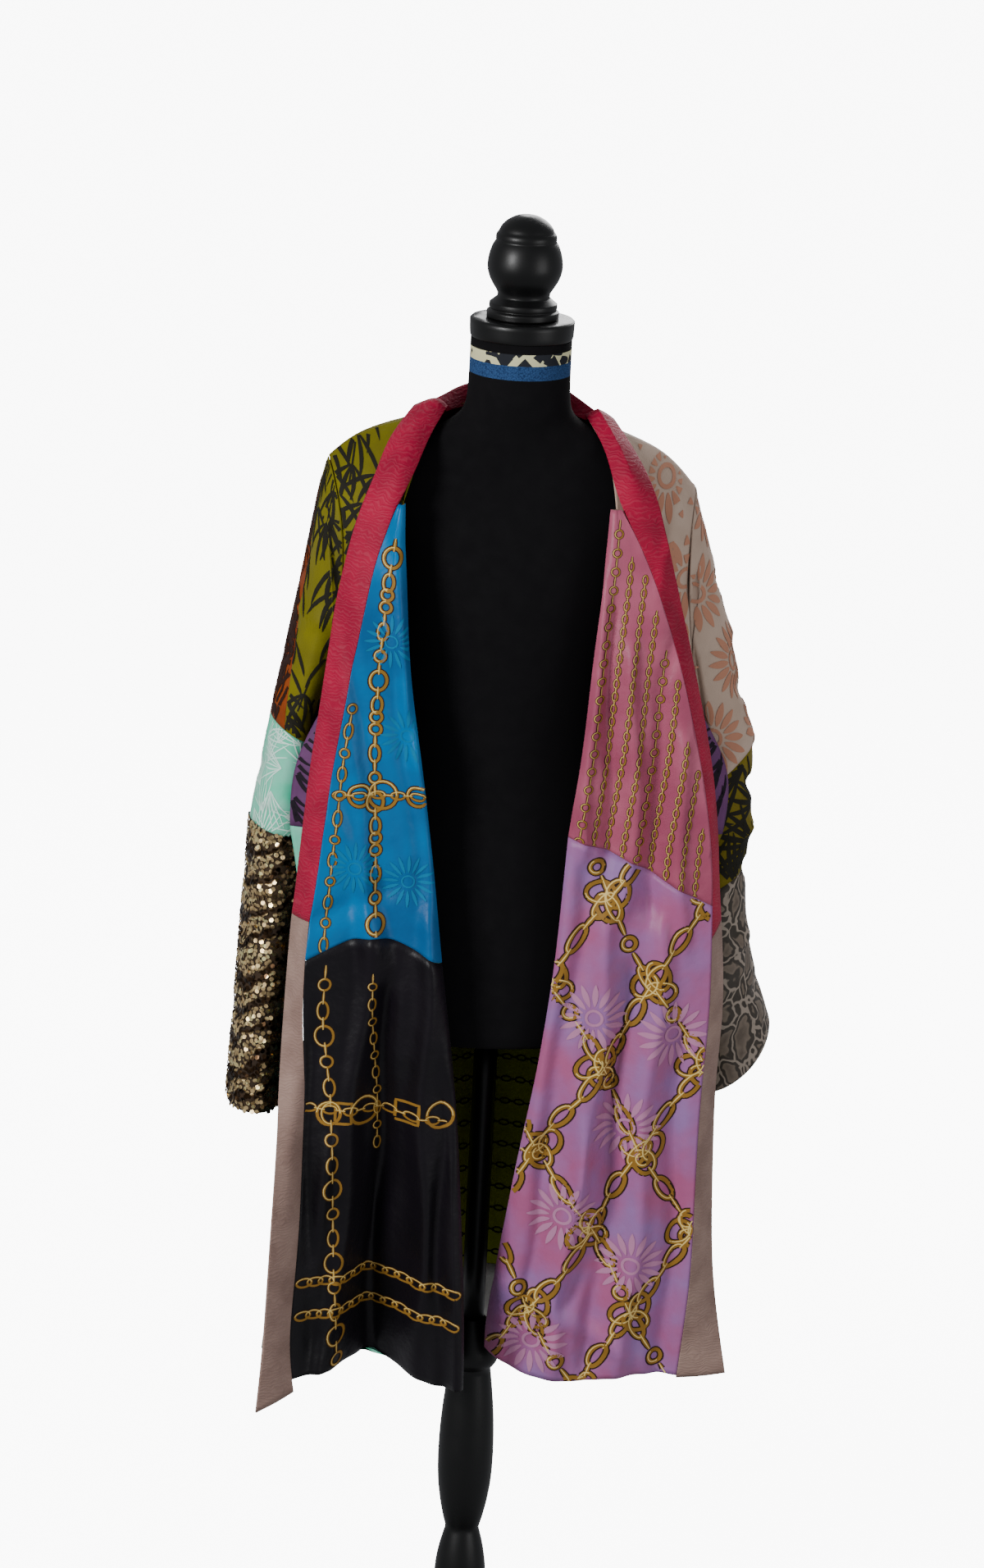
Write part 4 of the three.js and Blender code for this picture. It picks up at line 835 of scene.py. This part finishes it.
class KimonoSettings(bpy.types.PropertyGroup):
    """Sizes that drive the looks."""

    sequin_radius: FloatProperty(
        name="Sequin radius", description="Radius of one sequin", default=0.0027, unit="LENGTH")
    sequin_spacing: FloatProperty(
        name="Sequin spacing", description="Least distance between sequins", default=0.0036, unit="LENGTH")
    sequin_tilt: FloatProperty(
        name="Sequin tilt", description="Largest tilt of one sequin", default=0.42, subtype="ANGLE")
    sequin_seed: IntProperty(name="Sequin seed", description="Seed of the sequins' places", default=7)
    print_seed: IntProperty(name="Print seed", description="Seed of the printed sprays", default=11)
    camera_distance: FloatProperty(
        name="Camera distance", description="From the camera to the kimono", default=7.0, unit="LENGTH")
    camera_azimuth: FloatProperty(
        name="Camera azimuth", description="Turn round the stand", default=math.radians(-6), subtype="ANGLE")
    camera_elevation: FloatProperty(
        name="Camera elevation", description="Camera height angle", default=math.radians(15), subtype="ANGLE")
    camera_roll: FloatProperty(
        name="Camera roll", description="Tilt of the camera", default=math.radians(2.86), subtype="ANGLE")
    camera_lens: FloatProperty(
        name="Lens", description="Focal length on a 36 mm tall sensor", default=143.27, unit="NONE")


class KIMONO_OT_cloth(bpy.types.Operator):
    """Builds every sewn piece as a thin shell with creases"""

    bl_idname = "kimono.cloth"
    bl_label = "Cloth"

    def execute(self, context):
        materials = cloth_materials()
        for node, slot, width, length, steps in CLOTH:
            mesh = smooth_copy(node, steps, CLOTH_EDGE_DEGREES)
            where = where_is(node)
            for vertex in mesh.vertices:
                vertex.co += crease_shift(vertex.co, where)
                if node == "neck_band_red":
                    vertex.co.z -= nape_tuck(vertex.co)
            piece = place("cloth_" + node, mesh, materials[slot], node)
        for side, slot, colours in (("right", "orange_leaf_print", ("olive", "orange")),
                                    ("left", "cream_daisy_print", ("cream",))):
            fronts = [node for node, *_ in CLOTH if node.startswith(side + "_front_shell")]
            sleeves = ["%s_sleeve_%s" % (side, colour) for colour in colours]
            shells = ["back_shell_upper"] + fronts
            seam_allowance(side + "_armhole_seam", sleeves, shells, materials[slot])
        return {"FINISHED"}


class KIMONO_OT_stand(bpy.types.Operator):
    """Builds the dress form and its turned stand"""

    bl_idname = "kimono.stand"
    bl_label = "Dress form and stand"

    def execute(self, context):
        materials = {
            # Wood under satin black paint.
            "black_paint": plain_material("black paint", "040404", 0.4, coat=0.05, bump_mm=0.15, gloss=0.28),
            "form_cover": form_material(),
        }
        for node, slot in HARD.items():
            mesh = smooth_copy(node, HARD_STEPS, WOOD_EDGE_DEGREES)
            place("form_" + node, mesh, materials[slot], node)
        return {"FINISHED"}


class KIMONO_OT_prints(bpy.types.Operator):
    """Lays the printed leaves, daisies and chains on the cloth"""

    bl_idname = "kimono.prints"
    bl_label = "Prints"

    def execute(self, context):
        forms = {name: bmesh.new() for name in INKS}
        inks = (forms["chain_edge"], forms["gold"], forms["gold_light"])
        print_leaves(forms, random.Random(context.scene.kimono.print_seed))
        print_daisies(forms["peach"])
        print_blue_lining(forms, inks)
        print_black_lining(forms, inks)
        print_pink_lining(inks)
        print_lilac_lining(forms, inks)
        print_back_lining(forms)
        for name, (hex_text, slot) in INKS.items():
            # Dye or bronze ink in the cloth, not metal.
            shine = 0.5 if name.startswith("gold") else 0.7
            ink = plain_material("ink " + name, hex_text, shine, gloss=0.15)
            place("print_" + name, mesh_of(forms[name], name), ink)
        return {"FINISHED"}


class KIMONO_OT_sequins(bpy.types.Operator):
    """Sews the sequins on the lower right sleeve"""

    bl_idname = "kimono.sequins"
    bl_label = "Sequins"

    def execute(self, context):
        settings = context.scene.kimono
        form = bmesh.new()
        form.from_mesh(bpy.data.objects["cloth_right_sleeve_sequin"].data)
        inner = []
        for face in form.faces:
            middle = face.calc_center_median()
            axis = sleeve_axis(-1, middle.z)
            out = Vector((middle.x - axis.x, middle.y - axis.y, 0))
            if face.normal.dot(out.normalized()) < 0.3:
                inner.append(face)
        bmesh.ops.delete(form, geom=inner, context="FACES")
        # The foil would mirror the mint panel beside it as bright green.
        bpy.data.objects["cloth_right_front_shell_mint"].visible_glossy = False
        base = new_object("sequin base", mesh_of(form, "sequin base"))

        tree = bpy.data.node_groups.new("sequins", "GeometryNodeTree")
        make = tree.interface.new_socket
        make("Geometry", in_out="INPUT", socket_type="NodeSocketGeometry")
        material = sequin_material()
        values = {"Radius": ("Float", settings.sequin_radius), "Spacing": ("Float", settings.sequin_spacing),
                  "Tilt": ("Float", settings.sequin_tilt), "Seed": ("Int", settings.sequin_seed),
                  "Material": ("Material", material)}
        names = {label: make(label, in_out="INPUT", socket_type="NodeSocket" + kind).identifier
                 for label, (kind, _) in values.items()}
        make("Geometry", in_out="OUTPUT", socket_type="NodeSocketGeometry")
        given = add_node(tree, "NodeGroupInput").outputs
        points = add_node(tree, "GeometryNodeDistributePointsOnFaces", {
            "Mesh": given["Geometry"], "Distance Min": given["Spacing"], "Density Max": 90000.0,
            "Seed": given["Seed"]}, distribute_method="POISSON")
        disc = add_node(tree, "GeometryNodeMeshCircle", {"Vertices": 8, "Radius": given["Radius"]},
                        fill_type="TRIANGLE_FAN")
        least = add_node(tree, "ShaderNodeMath", {0: given["Tilt"], 1: -1.0}, operation="MULTIPLY")
        tilt = [add_node(tree, "FunctionNodeRandomValue", {"Seed": k}) for k in (1, 2)]
        for node in tilt:
            tree.links.new(least.outputs[0], node.inputs[2])
            tree.links.new(given["Tilt"], node.inputs[3])
        angles = add_node(tree, "ShaderNodeCombineXYZ", {"X": tilt[0].outputs[1], "Y": tilt[1].outputs[1]})
        turn = add_node(tree, "FunctionNodeEulerToRotation", {0: angles.outputs[0]})
        turned = add_node(tree, "FunctionNodeRotateRotation", {
            0: points.outputs["Rotation"], 1: turn.outputs[0]}, rotation_space="LOCAL")
        lifted = add_node(tree, "GeometryNodeSetPosition", {"Geometry": points.outputs["Points"]})
        rise = add_node(tree, "ShaderNodeVectorMath", {
            "Vector": points.outputs["Normal"], "Scale": SEQUIN_LIFT_MM * MM}, operation="SCALE")
        tree.links.new(rise.outputs[0], lifted.inputs["Offset"])
        sown = add_node(tree, "GeometryNodeInstanceOnPoints", {
            "Points": lifted.outputs[0], "Instance": disc.outputs[0], "Rotation": turned.outputs[0]})
        real = add_node(tree, "GeometryNodeRealizeInstances", {0: sown.outputs[0]})
        dressed = add_node(tree, "GeometryNodeSetMaterial", {
            "Geometry": real.outputs[0], "Material": given["Material"]})
        add_node(tree, "NodeGroupOutput", {0: dressed.outputs[0]})
        modifier = base.modifiers.new("sequins", "NODES")
        modifier.node_group = tree
        for label, (_, value) in values.items():
            modifier[names[label]] = value
        piece = place("sequins", applied(base), material)
        for polygon in piece.data.polygons:
            polygon.use_smooth = False
        return {"FINISHED"}


class KIMONO_OT_stage(bpy.types.Operator):
    """Sets the floor, the soft studio light and the camera"""

    bl_idname = "kimono.stage"
    bl_label = "Stage"

    def execute(self, context):
        scene = context.scene
        settings = scene.kimono
        # A wide floor of pale matt studio paper, and a far dome of the same paper round it.
        paper_look = plain_material("paper", "f4f3f2", 0.9, gloss=0.1)
        lit = principled(paper_look)
        lit.inputs["Emission Color"].default_value = srgb("ffffff")
        lit.inputs["Emission Strength"].default_value = PAPER_LIGHT
        for name in ("floor", "dome"):
            form = bmesh.new()
            if name == "floor":
                bmesh.ops.create_circle(form, cap_ends=True, segments=64, radius=STUDIO_RADIUS)
            else:
                bmesh.ops.create_uvsphere(form, u_segments=64, v_segments=32, radius=STUDIO_RADIUS)
                below = [vertex for vertex in form.verts if vertex.co.z < -0.01]
                bmesh.ops.delete(form, geom=below, context="VERTS")
                bmesh.ops.reverse_faces(form, faces=form.faces)
            paper = new_object(name, mesh_of(form, name))
            paper.data.materials.append(paper_look)
            for polygon in paper.data.polygons:
                polygon.use_smooth = name == "dome"
            # The paper is lit on its own, so that it doesn't pale the cloth.
            paper.visible_diffuse = False
            paper.visible_glossy = False
            paper.visible_shadow = False
        world = bpy.data.worlds.new("studio")
        scene.world = world
        world.use_nodes = True
        background = world.node_tree.nodes["Background"]
        background.inputs[0].default_value = srgb("f3f5fa")
        background.inputs[1].default_value = 0.42
        middle = Vector((0, 0, 1.0))
        for name, spot, size, power in LAMPS:
            lamp = bpy.data.lights.new(name, "AREA")
            lamp.size = size
            lamp.energy = power
            light = new_object(name, lamp)
            light.location = spot
            light.rotation_euler = (middle - Vector(spot)).to_track_quat("-Z", "Y").to_euler()
        azimuth, elevation, roll = settings.camera_azimuth, settings.camera_elevation, settings.camera_roll
        flat = math.cos(elevation)
        back = Vector((math.sin(azimuth) * flat, -math.cos(azimuth) * flat, math.sin(elevation)))
        level = Vector((math.cos(azimuth), math.sin(azimuth), 0))
        raised = back.cross(level)
        right = level * math.cos(roll) + raised * math.sin(roll)
        up = raised * math.cos(roll) - level * math.sin(roll)
        target = level * CAMERA_TARGET[0] + Vector((0, 0, CAMERA_TARGET[1]))
        eye = target + back * settings.camera_distance
        data = bpy.data.cameras.new("camera")
        data.sensor_fit = "VERTICAL"
        data.sensor_height = 36
        data.lens = settings.camera_lens
        camera = new_object("camera", data)
        camera.matrix_world = Matrix(((right.x, up.x, back.x, eye.x), (right.y, up.y, back.y, eye.y),
                                      (right.z, up.z, back.z, eye.z), (0, 0, 0, 1)))
        scene.camera = camera
        return {"FINISHED"}


class KIMONO_PT_panel(bpy.types.Panel):
    """Sizes and steps in the sidebar"""

    bl_label = "Patchwork kimono"
    bl_idname = "KIMONO_PT_panel"
    bl_space_type = "VIEW_3D"
    bl_region_type = "UI"
    bl_category = "Kimono"

    def draw(self, context):
        settings = context.scene.kimono
        for name in KimonoSettings.__annotations__:
            self.layout.prop(settings, name)
        for step in STEPS:
            self.layout.operator("kimono." + step)


STEPS = ("cloth", "stand", "prints", "sequins", "stage")
CLASSES = (KimonoSettings, KIMONO_OT_cloth, KIMONO_OT_stand, KIMONO_OT_prints, KIMONO_OT_sequins,
           KIMONO_OT_stage, KIMONO_PT_panel)


def register():
    for cls in CLASSES:
        bpy.utils.register_class(cls)
    bpy.types.Scene.kimono = PointerProperty(type=KimonoSettings)


def unregister():
    del bpy.types.Scene.kimono
    for cls in reversed(CLASSES):
        bpy.utils.unregister_class(cls)


def main():
    register()
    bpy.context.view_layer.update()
    for step in STEPS:
        getattr(bpy.ops.kimono, step)()


if __name__ == "__main__":
    main()
